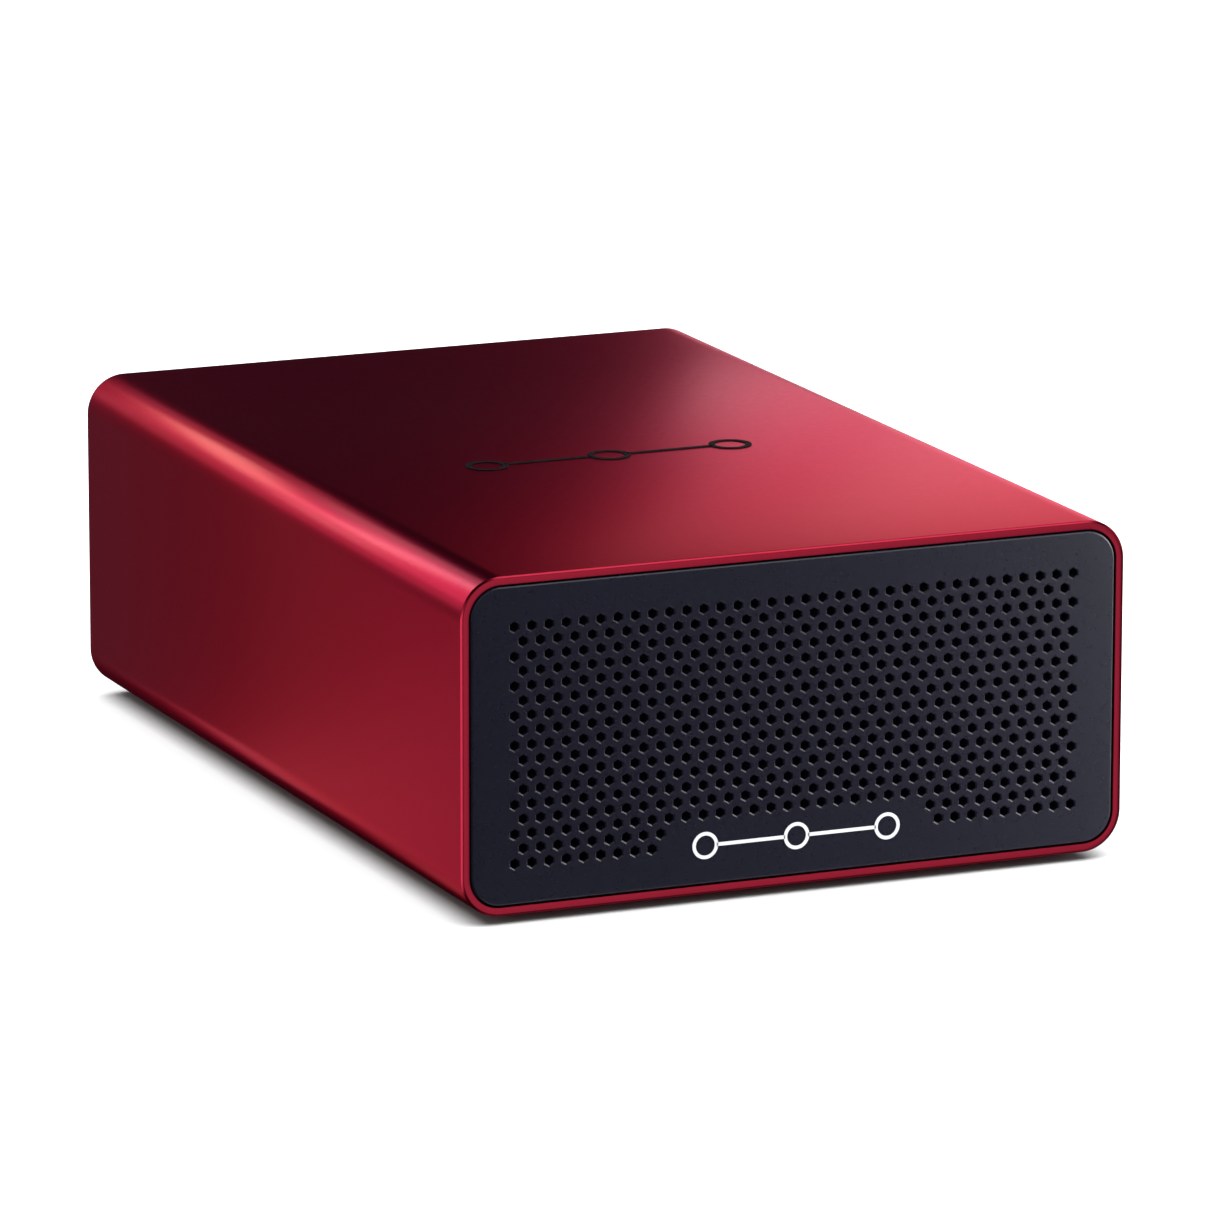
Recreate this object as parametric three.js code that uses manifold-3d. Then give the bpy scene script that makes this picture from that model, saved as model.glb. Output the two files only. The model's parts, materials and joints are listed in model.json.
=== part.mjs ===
// A compact desktop network interface: a red extruded aluminium sleeve with a perforated dark
// front panel, a connector panel at the back, and the boards, fan and wiring inside it.
//
// Millimetres, +Z up. The front faces -Y and +X is the right-hand side seen from the front.
// The origin is the centre of the whole object's footprint, on the surface it stands on.

import * as THREE from 'three';
import { mergeGeometries, mergeVertices } from 'three/addons/utils/BufferGeometryUtils.js';
import Module from 'manifold-3d';

const wasm = await Module();
wasm.setup();

// ---------------------------------------------------------------- driving dimensions

const BODY_WIDTH = 140;
const BODY_HEIGHT = 66.7;
const BODY_DEPTH = 207;
const BODY_RADIUS = 8.1;         // outer corners of the sleeve's section
const WALL = 1.72;
const EDGE_CHAMFER = 0.5;        // machined round both ends of the sleeve
const CORNER_STEPS = 6;
const CONTACT = 0.05;            // left between pieces that rest on each other
const FIT = 0.3;                 // left between a piece and the hole it sits in

const FOOT_HEIGHT = 1.8;
const FOOT_RADIUS = 7;
const FOOT_INSET_X = 17;
const FOOT_INSET_Y = 19;

const FRONT_PANEL_THICKNESS = 2;
const REAR_PANEL_THICKNESS = 1.5;
const PANEL_BEVEL = 0.4;
const CARRIER_DEPTH = 4;         // ring behind the front panel
const CARRIER_WINDOW = [122, 50];
const COUNTERBORE = 1.9;         // sinks its screw heads
const MARK_THICKNESS = 0.12;

const HOLE_PITCH = 3.575;        // along a row
const ROW_PITCH = 2.907;
const ROW_COUNT = 17;
const LONG_ROW = 34;             // holes in the even rows; the odd rows have one fewer
const MARK_ROWS = 2;             // the lowest rows stop short of the mark
const MARK_ROW_SIDE = 9;         // holes left at each end of those rows
const HOLE_RADIUS = 1.1;         // centre to corner
const HOLE_SIDES = 4;            // squares on a corner stand for the small hexagons

const CONNECTOR_REACH = 11;      // the clock connectors stand this far out of the back
const BOSS_RADIUS = 3;           // screw channels in the sleeve's inner corners
const BOSS_INSET = 4.68;
const SCREW_RADIUS = 1.2;
const SCREW_HOLE = 1.5;

const TRAY_THICKNESS = 1;
const TRAY_WIDTH = 116;
const STANDOFF_HEIGHT = 5;
const BOARD_THICKNESS = 1.6;
const BOARD = { width: 112, depth: 150 };
const CARD = { width: 78, depth: 104, x: -10, y: -14, lift: 21 };

const FAN = { size: 50, depth: 15, x: 34, bore: 23.3, hub: 10.6, screw: 20, blades: 7 };
const BLADE_PITCH = 38;          // degrees
const VENT = { radius: 24, hole: 2.3, pitch: 6 };
const ROCKER = { x: -2.5, tilt: 8, width: 9.8, half: 7.2 };

const JACK = { width: 16, height: 13.5, depth: 21 };
const USB = { width: 9, height: 3.3, depth: 8, radius: 1.5 };
const CLOCK_THREAD = 5;
const INLET_BARREL = 4;
const SWITCH = { width: 12.4, height: 19, depth: 15, bezel: 1.8 };
const LOCK_SLOT = { width: 3, height: 7 };
const CHIP_HEIGHT = 1.5;

// Places on the back: x only, because one row stands on the board and the other is level.
const ETHERNET_X = [-47, -29];
const USB_X = [-13, 0];
const CLOCK_X = [-54, -36];
const INLET_X = -19;
const LOCK_X = 62;

// Levels and ends worked out from those dimensions.
const FRONT = -(BODY_DEPTH + CONNECTOR_REACH) / 2;
const REAR = FRONT + BODY_DEPTH;
const MID_Z = FOOT_HEIGHT + BODY_HEIGHT / 2;
const FLOOR_Z = FOOT_HEIGHT + WALL + CONTACT;
const BOARD_Z = FLOOR_Z + TRAY_THICKNESS + STANDOFF_HEIGHT + 2 * CONTACT;
const BOARD_TOP = BOARD_Z + BOARD_THICKNESS + CONTACT;
const UPPER_ROW_Z = 47;
const FAN_Z = 37;
const INNER_WIDTH = BODY_WIDTH - 2 * WALL;
const INNER_HEIGHT = BODY_HEIGHT - 2 * WALL;
const INNER_RADIUS = BODY_RADIUS - WALL;
const BOSS_X = INNER_WIDTH / 2 - BOSS_INSET;
const BOSS_Z = INNER_HEIGHT / 2 - BOSS_INSET;
const PANEL_WIDTH = INNER_WIDTH - 2 * FIT;
const PANEL_HEIGHT = INNER_HEIGHT - 2 * FIT;
const CARRIER_FRONT = FRONT + FRONT_PANEL_THICKNESS + CONTACT;
const CARRIER_BACK = CARRIER_FRONT + CARRIER_DEPTH;
const FAN_BACK = REAR - REAR_PANEL_THICKNESS - CONTACT;
const BOARD_BACK = REAR - REAR_PANEL_THICKNESS - 1;
const BOARD_MID_Y = BOARD_BACK - BOARD.depth / 2;

// ---------------------------------------------------------------- finishes

const finish = (color, roughness, metalness) => () =>
  new THREE.MeshStandardMaterial({ color, roughness, metalness });

const FINISH = {
  redAluminium: finish(0xa81c2c, 0.38, 0.85),
  darkPanel: finish(0x1b1b22, 0.45, 0.6),
  blackSteel: finish(0x17171a, 0.55, 0.5),
  zincSteel: finish(0xb4b7ba, 0.4, 0.9),
  lightPrint: finish(0xd9dadd, 0.5, 0),
  darkPrint: finish(0x0c0a0c, 0.25, 0),
  blackPlastic: finish(0x121214, 0.5, 0),
  rubber: finish(0x1d1d1f, 0.9, 0),
  board: finish(0x12402a, 0.5, 0.1),
  chip: finish(0x141416, 0.45, 0.1),
  bareAluminium: finish(0xb9bcc0, 0.4, 0.9),
  nickel: finish(0xc8c9c6, 0.25, 1),
  brass: finish(0xc9a24a, 0.3, 1),
  redWire: finish(0xa3181c, 0.6, 0),
};

// ---------------------------------------------------------------- solids

function toSolid(geometry) {
  const bare = geometry.clone();
  bare.deleteAttribute('normal');
  bare.deleteAttribute('uv');
  const merged = mergeVertices(bare, 1e-5);
  return new wasm.Manifold(new wasm.Mesh({
    numProp: 3,
    vertProperties: new Float32Array(merged.attributes.position.array),
    triVerts: new Uint32Array(merged.index.array),
  }));
}

function toGeometry(solid) {
  const mesh = solid.getMesh();
  const geometry = new THREE.BufferGeometry();
  geometry.setAttribute('position', new THREE.BufferAttribute(mesh.vertProperties, 3));
  geometry.setIndex(new THREE.BufferAttribute(mesh.triVerts, 1));
  geometry.computeVertexNormals();
  return geometry;
}

const join = (first, ...rest) =>
  toGeometry(rest.reduce((sum, other) => sum.add(toSolid(other)), toSolid(first)));

const cut = (base, ...tools) =>
  toGeometry(tools.reduce((left, tool) => left.subtract(toSolid(tool)), toSolid(base)));

/** Box given by its limits along each axis. */
function block([x0, x1], [y0, y1], [z0, z1]) {
  const box = new THREE.BoxGeometry(x1 - x0, y1 - y0, z1 - z0);
  return box.translate((x0 + x1) / 2, (y0 + y1) / 2, (z0 + z1) / 2);
}

const span = (centre, length) => [centre - length / 2, centre + length / 2];

/** Upright round bar standing on z0. */
function post(radius, x, y, [z0, z1], sides = 16) {
  const bar = new THREE.CylinderGeometry(radius, radius, z1 - z0, sides);
  return bar.rotateX(Math.PI / 2).translate(x, y, (z0 + z1) / 2);
}

/** Round bar lying along Y. */
function rod(radius, x, z, [y0, y1], sides = 20) {
  const bar = new THREE.CylinderGeometry(radius, radius, y1 - y0, sides);
  return bar.translate(x, (y0 + y1) / 2, z);
}

/** A shape drawn in X and Z, filled between two places along Y. */
function slab(shape, [y0, y1], curveSegments = 4) {
  const options = { depth: y1 - y0, bevelEnabled: false, curveSegments };
  return new THREE.ExtrudeGeometry(shape, options).rotateX(Math.PI / 2).translate(0, y1, 0);
}

function roundedRectangle(width, height, radius, x = 0, z = 0) {
  const shape = new THREE.Shape();
  const [right, top] = [width / 2 - radius, height / 2 - radius];
  shape.absarc(x + right, z + top, radius, 0, Math.PI / 2);
  shape.absarc(x - right, z + top, radius, Math.PI / 2, Math.PI);
  shape.absarc(x - right, z - top, radius, Math.PI, 1.5 * Math.PI);
  shape.absarc(x + right, z - top, radius, 1.5 * Math.PI, 2 * Math.PI);
  return shape;
}

/** Outline of a rounded rectangle round the body's axis, at one place along Y. */
function section(width, height, radius, y) {
  const points = [];
  const centres = [[1, 1], [-1, 1], [-1, -1], [1, -1]];
  centres.forEach(([sx, sz], corner) => {
    for (let step = 0; step <= CORNER_STEPS; step += 1) {
      const angle = (corner + step / CORNER_STEPS) * Math.PI / 2;
      const x = sx * (width / 2 - radius) + radius * Math.cos(angle);
      const z = sz * (height / 2 - radius) + radius * Math.sin(angle);
      points.push([x, y, MID_Z + z]);
    }
  });
  return points;
}

/** Skin over sections in order: capped at both ends, or joined last to first as a tube. */
function loft(sections, isTube) {
  const count = sections[0].length;
  const index = [];
  const bands = isTube ? sections.length : sections.length - 1;
  for (let band = 0; band < bands; band += 1) {
    const here = band * count;
    const next = ((band + 1) % sections.length) * count;
    for (let i = 0; i < count; i += 1) {
      const j = (i + 1) % count;
      index.push(here + i, next + i, next + j, here + i, next + j, here + j);
    }
  }
  if (!isTube) {
    const last = (sections.length - 1) * count;
    for (let i = 1; i < count - 1; i += 1) {
      index.push(0, i, i + 1, last, last + i + 1, last + i);
    }
  }
  const geometry = new THREE.BufferGeometry();
  const positions = new Float32Array(sections.flat(2));
  geometry.setAttribute('position', new THREE.BufferAttribute(positions, 3));
  geometry.setIndex(index);
  return geometry;
}

/** Profile of [radius, distance] turned round a line along Y, distance measured from y. */
function turned(profile, x, y, z, sides = 16) {
  const points = profile.map(([radius, along]) => new THREE.Vector2(radius, along));
  return new THREE.LatheGeometry(points, sides).translate(x, y, z);
}

const corners = (x, y) => [[-x, -y], [x, -y], [-x, y], [x, y]];

const part = new THREE.Group();

function add(name, geometry, material, place = [0, 0, 0], turn = [0, 0, 0]) {
  const mesh = new THREE.Mesh(toGeometry(toSolid(geometry)), material());
  mesh.name = name;
  mesh.position.set(...place);
  mesh.rotation.set(...turn);
  part.add(mesh);
}

// ---------------------------------------------------------------- enclosure

function outerSleeve() {
  const [w, h, r, c] = [BODY_WIDTH, BODY_HEIGHT, BODY_RADIUS, EDGE_CHAMFER];
  const tube = loft([
    section(w - 2 * c, h - 2 * c, r - c, FRONT),
    section(w, h, r, FRONT + c),
    section(w, h, r, REAR - c),
    section(w - 2 * c, h - 2 * c, r - c, REAR),
    section(INNER_WIDTH, INNER_HEIGHT, INNER_RADIUS, REAR),
    section(INNER_WIDTH, INNER_HEIGHT, INNER_RADIUS, FRONT),
  ], true);
  const run = [CARRIER_BACK + CONTACT, REAR - REAR_PANEL_THICKNESS - CONTACT];
  const past = [run[0] - 1, run[1] + 1];
  const channels = [];
  const bores = [];
  corners(1, 1).forEach(([sx, sz]) => {
    const [x, z] = [sx * BOSS_X, MID_Z + sz * BOSS_Z];
    const web = 2.1;
    channels.push(rod(BOSS_RADIUS, x, z, run, 16), rod(1.6, x + sx * web, z + sz * web, run, 8));
    bores.push(rod(SCREW_HOLE, x, z, past, 12));
  });
  return cut(join(tube, ...channels), ...bores);
}

/** Centres of the ventilation holes, as [x, z]. */
function holeCentres() {
  const centres = [];
  for (let row = 0; row < ROW_COUNT; row += 1) {
    const count = LONG_ROW - (row % 2);
    const z = MID_Z + ((ROW_COUNT - 1) / 2 - row) * ROW_PITCH;
    const isByMark = row >= ROW_COUNT - MARK_ROWS;
    for (let i = 0; i < count; i += 1) {
      const isEnd = i < MARK_ROW_SIDE || i >= count - MARK_ROW_SIDE;
      if (!isByMark || isEnd) centres.push([(i - (count - 1) / 2) * HOLE_PITCH, z]);
    }
  }
  return centres;
}

/** Prisms with a corner up, ready to be cut out of a plate. */
function prisms(centres, radius, [y0, y1], sides) {
  return mergeGeometries(centres.map(([x, z]) => {
    const prism = new THREE.CylinderGeometry(radius, radius, y1 - y0, sides);
    prism.deleteAttribute('uv');
    return prism.translate(x, (y0 + y1) / 2, z);
  }));
}

function frontPanel() {
  const [w, h, r, b] = [PANEL_WIDTH, PANEL_HEIGHT, INNER_RADIUS - FIT, PANEL_BEVEL];
  const plate = loft([
    section(w - 2 * b, h - 2 * b, r - b, FRONT),
    section(w, h, r, FRONT + b),
    section(w, h, r, FRONT + FRONT_PANEL_THICKNESS),
  ], false);
  const through = [FRONT - 1, FRONT + FRONT_PANEL_THICKNESS + 1];
  return cut(plate, prisms(holeCentres(), HOLE_RADIUS, through, HOLE_SIDES));
}

/** Ring that carries the front panel, screwed to the front ends of the sleeve's channels. */
function frontCarrier() {
  const run = [CARRIER_FRONT, CARRIER_BACK];
  const ring = roundedRectangle(PANEL_WIDTH, PANEL_HEIGHT, INNER_RADIUS - FIT, 0, MID_Z);
  ring.holes.push(roundedRectangle(CARRIER_WINDOW[0], CARRIER_WINDOW[1], 3, 0, MID_Z));
  const past = [run[0] - 1, run[1] + 1];
  const drills = corners(BOSS_X, BOSS_Z).flatMap(([x, z]) => [
    rod(SCREW_HOLE, x, MID_Z + z, past, 12),
    rod(3, x, MID_Z + z, [run[0] - 1, run[0] + COUNTERBORE], 12),
  ]);
  return cut(slab(ring, run), ...drills);
}

/** Pan-head screw along Y: its head starts at 0 and points to -Y, its shank runs to +Y. */
function screw(headRadius, headHeight, length) {
  const hex = new THREE.CylinderGeometry(1, 1, headHeight, 6);
  const profile = [
    [0, -headHeight], [headRadius * 0.8, -headHeight], [headRadius, -headHeight * 0.6],
    [headRadius, 0], [SCREW_RADIUS, 0], [SCREW_RADIUS, length], [0, length],
  ];
  const body = turned(profile, 0, 0, 0, 8);
  return cut(body, hex.translate(0, -headHeight * 0.9, 0));
}

function rearPanel() {
  const outline = roundedRectangle(PANEL_WIDTH, PANEL_HEIGHT, INNER_RADIUS - FIT, 0, MID_Z);
  const run = [REAR - REAR_PANEL_THICKNESS, REAR];
  const past = [run[0] - 1, REAR + 1];
  const usbZ = BOARD_TOP + USB.height / 2;
  const cuts = [
    ...ETHERNET_X.map((x) => block(span(x, JACK.width + 2 * FIT), past,
      [BOARD_TOP - FIT, BOARD_TOP + JACK.height + FIT])),
    ...USB_X.map((x) => slab(roundedRectangle(
      USB.width + 2 * FIT, USB.height + 2 * FIT, USB.radius + FIT, x, usbZ), past, 3)),
    ...CLOCK_X.map((x) => rod(CLOCK_THREAD + FIT, x, UPPER_ROW_Z, past, 16)),
    rod(INLET_BARREL + FIT, INLET_X, UPPER_ROW_Z, past, 16),
    block(span(ROCKER.x, SWITCH.width + 2 * FIT), past,
      span(UPPER_ROW_Z, SWITCH.height + 2 * FIT)),
    slab(roundedRectangle(LOCK_SLOT.width, LOCK_SLOT.height, 1.4, LOCK_X, MID_Z), past, 3),
    ...corners(BOSS_X, BOSS_Z).map(([x, z]) => rod(SCREW_HOLE, x, MID_Z + z, past, 8)),
    ...corners(FAN.screw, FAN.screw).map(([x, z]) =>
      rod(SCREW_HOLE, FAN.x + x, FAN_Z + z, past, 8)),
    prisms(ventCentres(), VENT.hole, past, 6),
  ];
  return cut(slab(outline, run), ...cuts);
}

/** Centres of the exhaust holes in front of the fan: a triangular grid inside a circle. */
function ventCentres() {
  const centres = [];
  const rise = VENT.pitch * Math.sqrt(3) / 2;
  const reach = Math.ceil(VENT.radius / rise);
  for (let row = -reach; row <= reach; row += 1) {
    for (let column = -reach; column <= reach; column += 1) {
      const x = (column + (row % 2 ? 0.5 : 0)) * VENT.pitch;
      const z = row * rise;
      if (Math.hypot(x, z) <= VENT.radius - VENT.hole) centres.push([FAN.x + x, FAN_Z + z]);
    }
  }
  return centres;
}

/** Generic mark: three rings on a line, the usual sign for linked points in a network. */
function linkMark(width, ringRadius, stroke) {
  const pitch = width / 2 - ringRadius;
  const rings = [-1, 0, 1].map((side) => {
    const ring = new THREE.Shape();
    ring.absarc(side * pitch, 0, ringRadius, 0, 2 * Math.PI);
    const hole = new THREE.Path();
    hole.absarc(side * pitch, 0, ringRadius - stroke, 0, 2 * Math.PI);
    ring.holes.push(hole);
    return ring;
  });
  const depth = MARK_THICKNESS;
  const layers = rings.map((ring) =>
    new THREE.ExtrudeGeometry(ring, { depth, bevelEnabled: false, curveSegments: 8 }));
  const reach = pitch - 2 * ringRadius + stroke;
  const bars = [-1, 1].map((side) => block(
    span(side * pitch / 2, reach), span(0, stroke), [0, depth]));
  return join(...layers, ...bars);
}

function foot() {
  const edge = 0.5;
  const profile = [
    [0, 0], [FOOT_RADIUS - 2 * edge, 0], [FOOT_RADIUS - edge, edge],
    [FOOT_RADIUS, FOOT_HEIGHT - CONTACT], [0, FOOT_HEIGHT - CONTACT],
  ];
  return turned(profile, 0, 0, 0, 24).rotateX(Math.PI / 2);
}

// ---------------------------------------------------------------- chassis and boards

function chassisTray() {
  const along = [FRONT + 10, BOARD_BACK];
  const floor = block(span(0, TRAY_WIDTH), along, [FLOOR_Z, FLOOR_Z + TRAY_THICKNESS]);
  const rails = [-1, 1].map((side) => block(
    span(side * (TRAY_WIDTH - TRAY_THICKNESS) / 2, TRAY_THICKNESS), along,
    [FLOOR_Z, FLOOR_Z + 7]));
  const windows = [-45, 0].map((y) =>
    block(span(0, 60), span(y, 26), [FLOOR_Z - 1, FLOOR_Z + TRAY_THICKNESS + 1]));
  return cut(join(floor, ...rails), ...windows);
}

const BOARD_SCREWS = corners(BOARD.width / 2 - 5, BOARD.depth / 2 - 26)
  .map(([x, y]) => [x, BOARD_MID_Y + y]);
const CARD_Y = BOARD_MID_Y + CARD.y;
const CARD_SPACERS = corners(CARD.width / 2 - 4, CARD.depth / 2 - 4)
  .slice(0, 2).map(([x, y]) => [CARD.x + x, CARD_Y + y]);

function boardSlab(width, depth, x, y, z, drills) {
  const slabBox = block(span(x, width), span(y, depth), [z, z + BOARD_THICKNESS]);
  const through = [z - 1, z + BOARD_THICKNESS + 1];
  return cut(slabBox, ...drills.map(([dx, dy]) => post(SCREW_HOLE, dx, dy, through, 12)));
}

/** Hexagonal pillar with a screw hole right through it. */
function pillar(height) {
  return cut(post(2.9, 0, 0, [0, height], 6), post(SCREW_HOLE, 0, 0, [-1, height + 1], 12));
}

function heatSink(width, depth, height, fins) {
  const base = 2.5;
  const finWidth = 1.2;
  const gap = (width - finWidth) / (fins - 1);
  const blades = Array.from({ length: fins }, (_, i) => block(
    span(-width / 2 + finWidth / 2 + i * gap, finWidth), span(0, depth), [0, height]));
  return join(block(span(0, width), span(0, depth), [0, base]), ...blades);
}

// ---------------------------------------------------------------- connectors and switch

function ethernetJack(x) {
  const face = REAR + 0.4;
  const body = block(span(x, JACK.width), [face - JACK.depth, face],
    [BOARD_TOP, BOARD_TOP + JACK.height]);
  const socket = block(span(x, 11.8), [face - 13, face + 1], [BOARD_TOP + 4.2, BOARD_TOP + 11.4]);
  const latch = block(span(x, 6), [face - 13, face + 1], [BOARD_TOP + 1.8, BOARD_TOP + 5]);
  return cut(body, socket, latch);
}

function usbPort(x) {
  const face = REAR + 0.2;
  const z = BOARD_TOP + USB.height / 2;
  const outer = roundedRectangle(USB.width, USB.height, USB.radius, x, z);
  const inner = roundedRectangle(USB.width - 0.7, USB.height - 0.7, USB.radius - 0.35, x, z);
  const shell = cut(slab(outer, [face - USB.depth, face], 3), slab(inner, [face - 6, face + 1], 3));
  return join(shell, block(span(x, 6.6), [face - 6.5, face - 0.9], span(z, 0.7)));
}

/** Bayonet socket for a clock cable, measured from the outside of the rear panel. */
function clockConnector(x) {
  const tip = CONNECTOR_REACH;
  const barrel = turned([
    [0, -15], [5.4, -15], [5.4, -4], [6.6, -4], [6.6, -1.6], [CLOCK_THREAD, -1.6],
    [CLOCK_THREAD, 3.2], [4.8, 3.4], [4.8, tip - 0.4], [4.6, tip], [0, tip],
  ], x, REAR, UPPER_ROW_Z);
  const lugs = new THREE.CylinderGeometry(0.95, 0.95, 11.4, 8).rotateZ(Math.PI / 2)
    .translate(x, REAR + 7.6, UPPER_ROW_Z);
  const bore = rod(3.9, x, UPPER_ROW_Z, [REAR + 3, REAR + tip + 1], 16);
  const core = rod(2.1, x, UPPER_ROW_Z, [REAR + 2, REAR + tip - 3], 12);
  return join(cut(join(barrel, lugs), bore), core);
}

function clockNut(x) {
  const run = [REAR + CONTACT, REAR + 2.4];
  const hex = new THREE.CylinderGeometry(7.2, 7.2, run[1] - run[0], 6);
  return cut(hex.translate(x, (run[0] + run[1]) / 2, UPPER_ROW_Z),
    rod(CLOCK_THREAD + FIT, x, UPPER_ROW_Z, [REAR - 1, REAR + 4], 16));
}

function dcInlet() {
  const barrel = rod(INLET_BARREL, INLET_X, UPPER_ROW_Z, [REAR - 16, REAR + 1], 24);
  const flange = rod(5.6, INLET_X, UPPER_ROW_Z, [REAR + CONTACT, REAR + 1.6], 24);
  const bore = rod(2.8, INLET_X, UPPER_ROW_Z, [REAR - 9, REAR + 3]);
  const pin = rod(1, INLET_X, UPPER_ROW_Z, [REAR - 10, REAR + 0.5], 12);
  return join(cut(join(barrel, flange), bore), pin);
}

function switchHousing() {
  const body = block(span(ROCKER.x, SWITCH.width), [REAR - SWITCH.depth, REAR + 0.5],
    span(UPPER_ROW_Z, SWITCH.height));
  const bezel = slab(roundedRectangle(SWITCH.width + 2.6, SWITCH.height + 2.2, 1.2,
    ROCKER.x, UPPER_ROW_Z), [REAR + CONTACT, REAR + SWITCH.bezel], 3);
  const pocket = block(span(ROCKER.x, ROCKER.width + 0.6), [REAR - 8, REAR + 3],
    span(UPPER_ROW_Z, 2 * ROCKER.half + 2));
  return cut(join(body, bezel), pocket);
}

/** Rocker about its own pivot, level; y is out of the panel, z runs along the rocker. */
function switchRocker() {
  const { half, width } = ROCKER;
  const side = new THREE.Shape();
  side.moveTo(-half, 3.4);
  side.quadraticCurveTo(0, 1.4, half, 3.4);
  side.lineTo(half - 0.3, 0);
  side.lineTo(2.5, -5);
  side.lineTo(-2.5, -5);
  side.lineTo(-half + 0.3, 0);
  side.closePath();
  const options = { depth: width, bevelEnabled: false, curveSegments: 10 };
  return new THREE.ExtrudeGeometry(side, options).translate(0, 0, -width / 2)
    .rotateY(-Math.PI / 2);
}

// ---------------------------------------------------------------- fan

function fanFrame() {
  const run = [FAN_BACK - FAN.depth, FAN_BACK];
  const past = [run[0] - 1, run[1] + 1];
  const square = slab(roundedRectangle(FAN.size, FAN.size, 3, FAN.x, FAN_Z), run);
  const drills = corners(FAN.screw, FAN.screw).map(([x, z]) =>
    rod(SCREW_HOLE, FAN.x + x, FAN_Z + z, past, 8));
  const shell = cut(square, rod(FAN.bore, FAN.x, FAN_Z, past, 40), ...drills);
  const motor = [FAN_BACK - 2.4, FAN_BACK - 0.2];
  const struts = [45, 135].map((angle) => block(span(0, 2 * FAN.bore + 0.6), motor, span(0, 2.4))
    .rotateY(THREE.MathUtils.degToRad(angle)).translate(FAN.x, 0, FAN_Z));
  return join(shell, rod(FAN.hub, FAN.x, FAN_Z, motor, 32), ...struts);
}

/** Rotor round its own axis: a cupped hub with pitched blades. */
function fanRotor() {
  const depth = FAN.depth - 3.6;
  const chamfer = 0.8;
  const hub = turned([
    [0, 0], [FAN.hub - chamfer, 0], [FAN.hub, chamfer], [FAN.hub, depth], [0, depth],
  ], 0, 0, 0, 32);
  const blades = Array.from({ length: FAN.blades }, (_, i) => {
    const blade = block([FAN.hub - 1, 22.2], span(0, 1.1), span(0, 13));
    return blade.rotateX(THREE.MathUtils.degToRad(90 - BLADE_PITCH))
      .translate(0, depth / 2 + 0.2, 0).rotateY(i * 2 * Math.PI / FAN.blades);
  });
  return join(hub, ...blades);
}

/** Insulated lead along a smooth route. */
function lead(points, radius) {
  const circle = new THREE.Shape();
  circle.absarc(0, 0, radius, 0, 2 * Math.PI);
  const path = new THREE.CatmullRomCurve3(points.map((p) => new THREE.Vector3(...p)));
  const options = { extrudePath: path, steps: 18, curveSegments: 4, bevelEnabled: false };
  return new THREE.ExtrudeGeometry(circle, options);
}

// ---------------------------------------------------------------- assembly

add('outer_sleeve', outerSleeve(), FINISH.redAluminium);
add('front_panel', frontPanel(), FINISH.darkPanel);
add('front_carrier', frontCarrier(), FINISH.blackPlastic);
add('rear_panel', rearPanel(), FINISH.darkPanel);
add('front_mark', linkMark(44, 2.7, 0.7), FINISH.lightPrint,
  [0, FRONT - CONTACT, MID_Z - 23.6], [Math.PI / 2, 0, 0]);
add('top_mark', linkMark(62, 4.4, 1.2), FINISH.darkPrint,
  [0, FRONT + 92, FOOT_HEIGHT + BODY_HEIGHT + CONTACT]);

corners(BOSS_X, BOSS_Z).forEach(([x, z], i) => {
  add(`carrier_screw_${i + 1}`, screw(2.4, 1.6, 9), FINISH.zincSteel,
    [x, CARRIER_FRONT + COUNTERBORE - CONTACT, MID_Z + z]);
  add(`rear_screw_${i + 1}`, screw(2.6, 1.6, 10), FINISH.blackSteel,
    [x, REAR + CONTACT, MID_Z + z], [0, 0, Math.PI]);
  add(`fan_screw_${i + 1}`, screw(2.6, 1.6, 12), FINISH.blackSteel,
    [FAN.x + Math.sign(x) * FAN.screw, REAR + CONTACT, FAN_Z + Math.sign(z) * FAN.screw],
    [0, 0, Math.PI]);
});

['front_left', 'front_right', 'rear_left', 'rear_right'].forEach((place, i) => {
  const [x, y] = corners(BODY_WIDTH / 2 - FOOT_INSET_X, BODY_DEPTH / 2 - FOOT_INSET_Y)[i];
  add(`foot_${place}`, foot(), FINISH.rubber, [x, y + (FRONT + REAR) / 2, 0]);
});

add('chassis_tray', chassisTray(), FINISH.zincSteel);
add('main_board', boardSlab(BOARD.width, BOARD.depth, 0, BOARD_MID_Y, BOARD_Z, BOARD_SCREWS),
  FINISH.board);
BOARD_SCREWS.forEach(([x, y], i) => {
  add(`standoff_${i + 1}`, pillar(STANDOFF_HEIGHT), FINISH.brass,
    [x, y, FLOOR_Z + TRAY_THICKNESS + CONTACT]);
  add(`board_screw_${i + 1}`, screw(2.6, 1.6, 5), FINISH.zincSteel,
    [x, y, BOARD_TOP], [-Math.PI / 2, 0, 0]);
});

const CARD_Z = BOARD_TOP + CARD.lift;
add('network_card', boardSlab(CARD.width, CARD.depth, CARD.x, CARD_Y, CARD_Z, CARD_SPACERS),
  FINISH.board);
add('card_connector', block(span(CARD.x, 46), span(CARD_Y + CARD.depth / 2 - 6, 6),
  [BOARD_TOP, CARD_Z - CONTACT]), FINISH.blackPlastic);
CARD_SPACERS.forEach(([x, y], i) => {
  add(`card_spacer_${i + 1}`, pillar(CARD.lift - CONTACT), FINISH.brass, [x, y, BOARD_TOP]);
});

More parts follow.
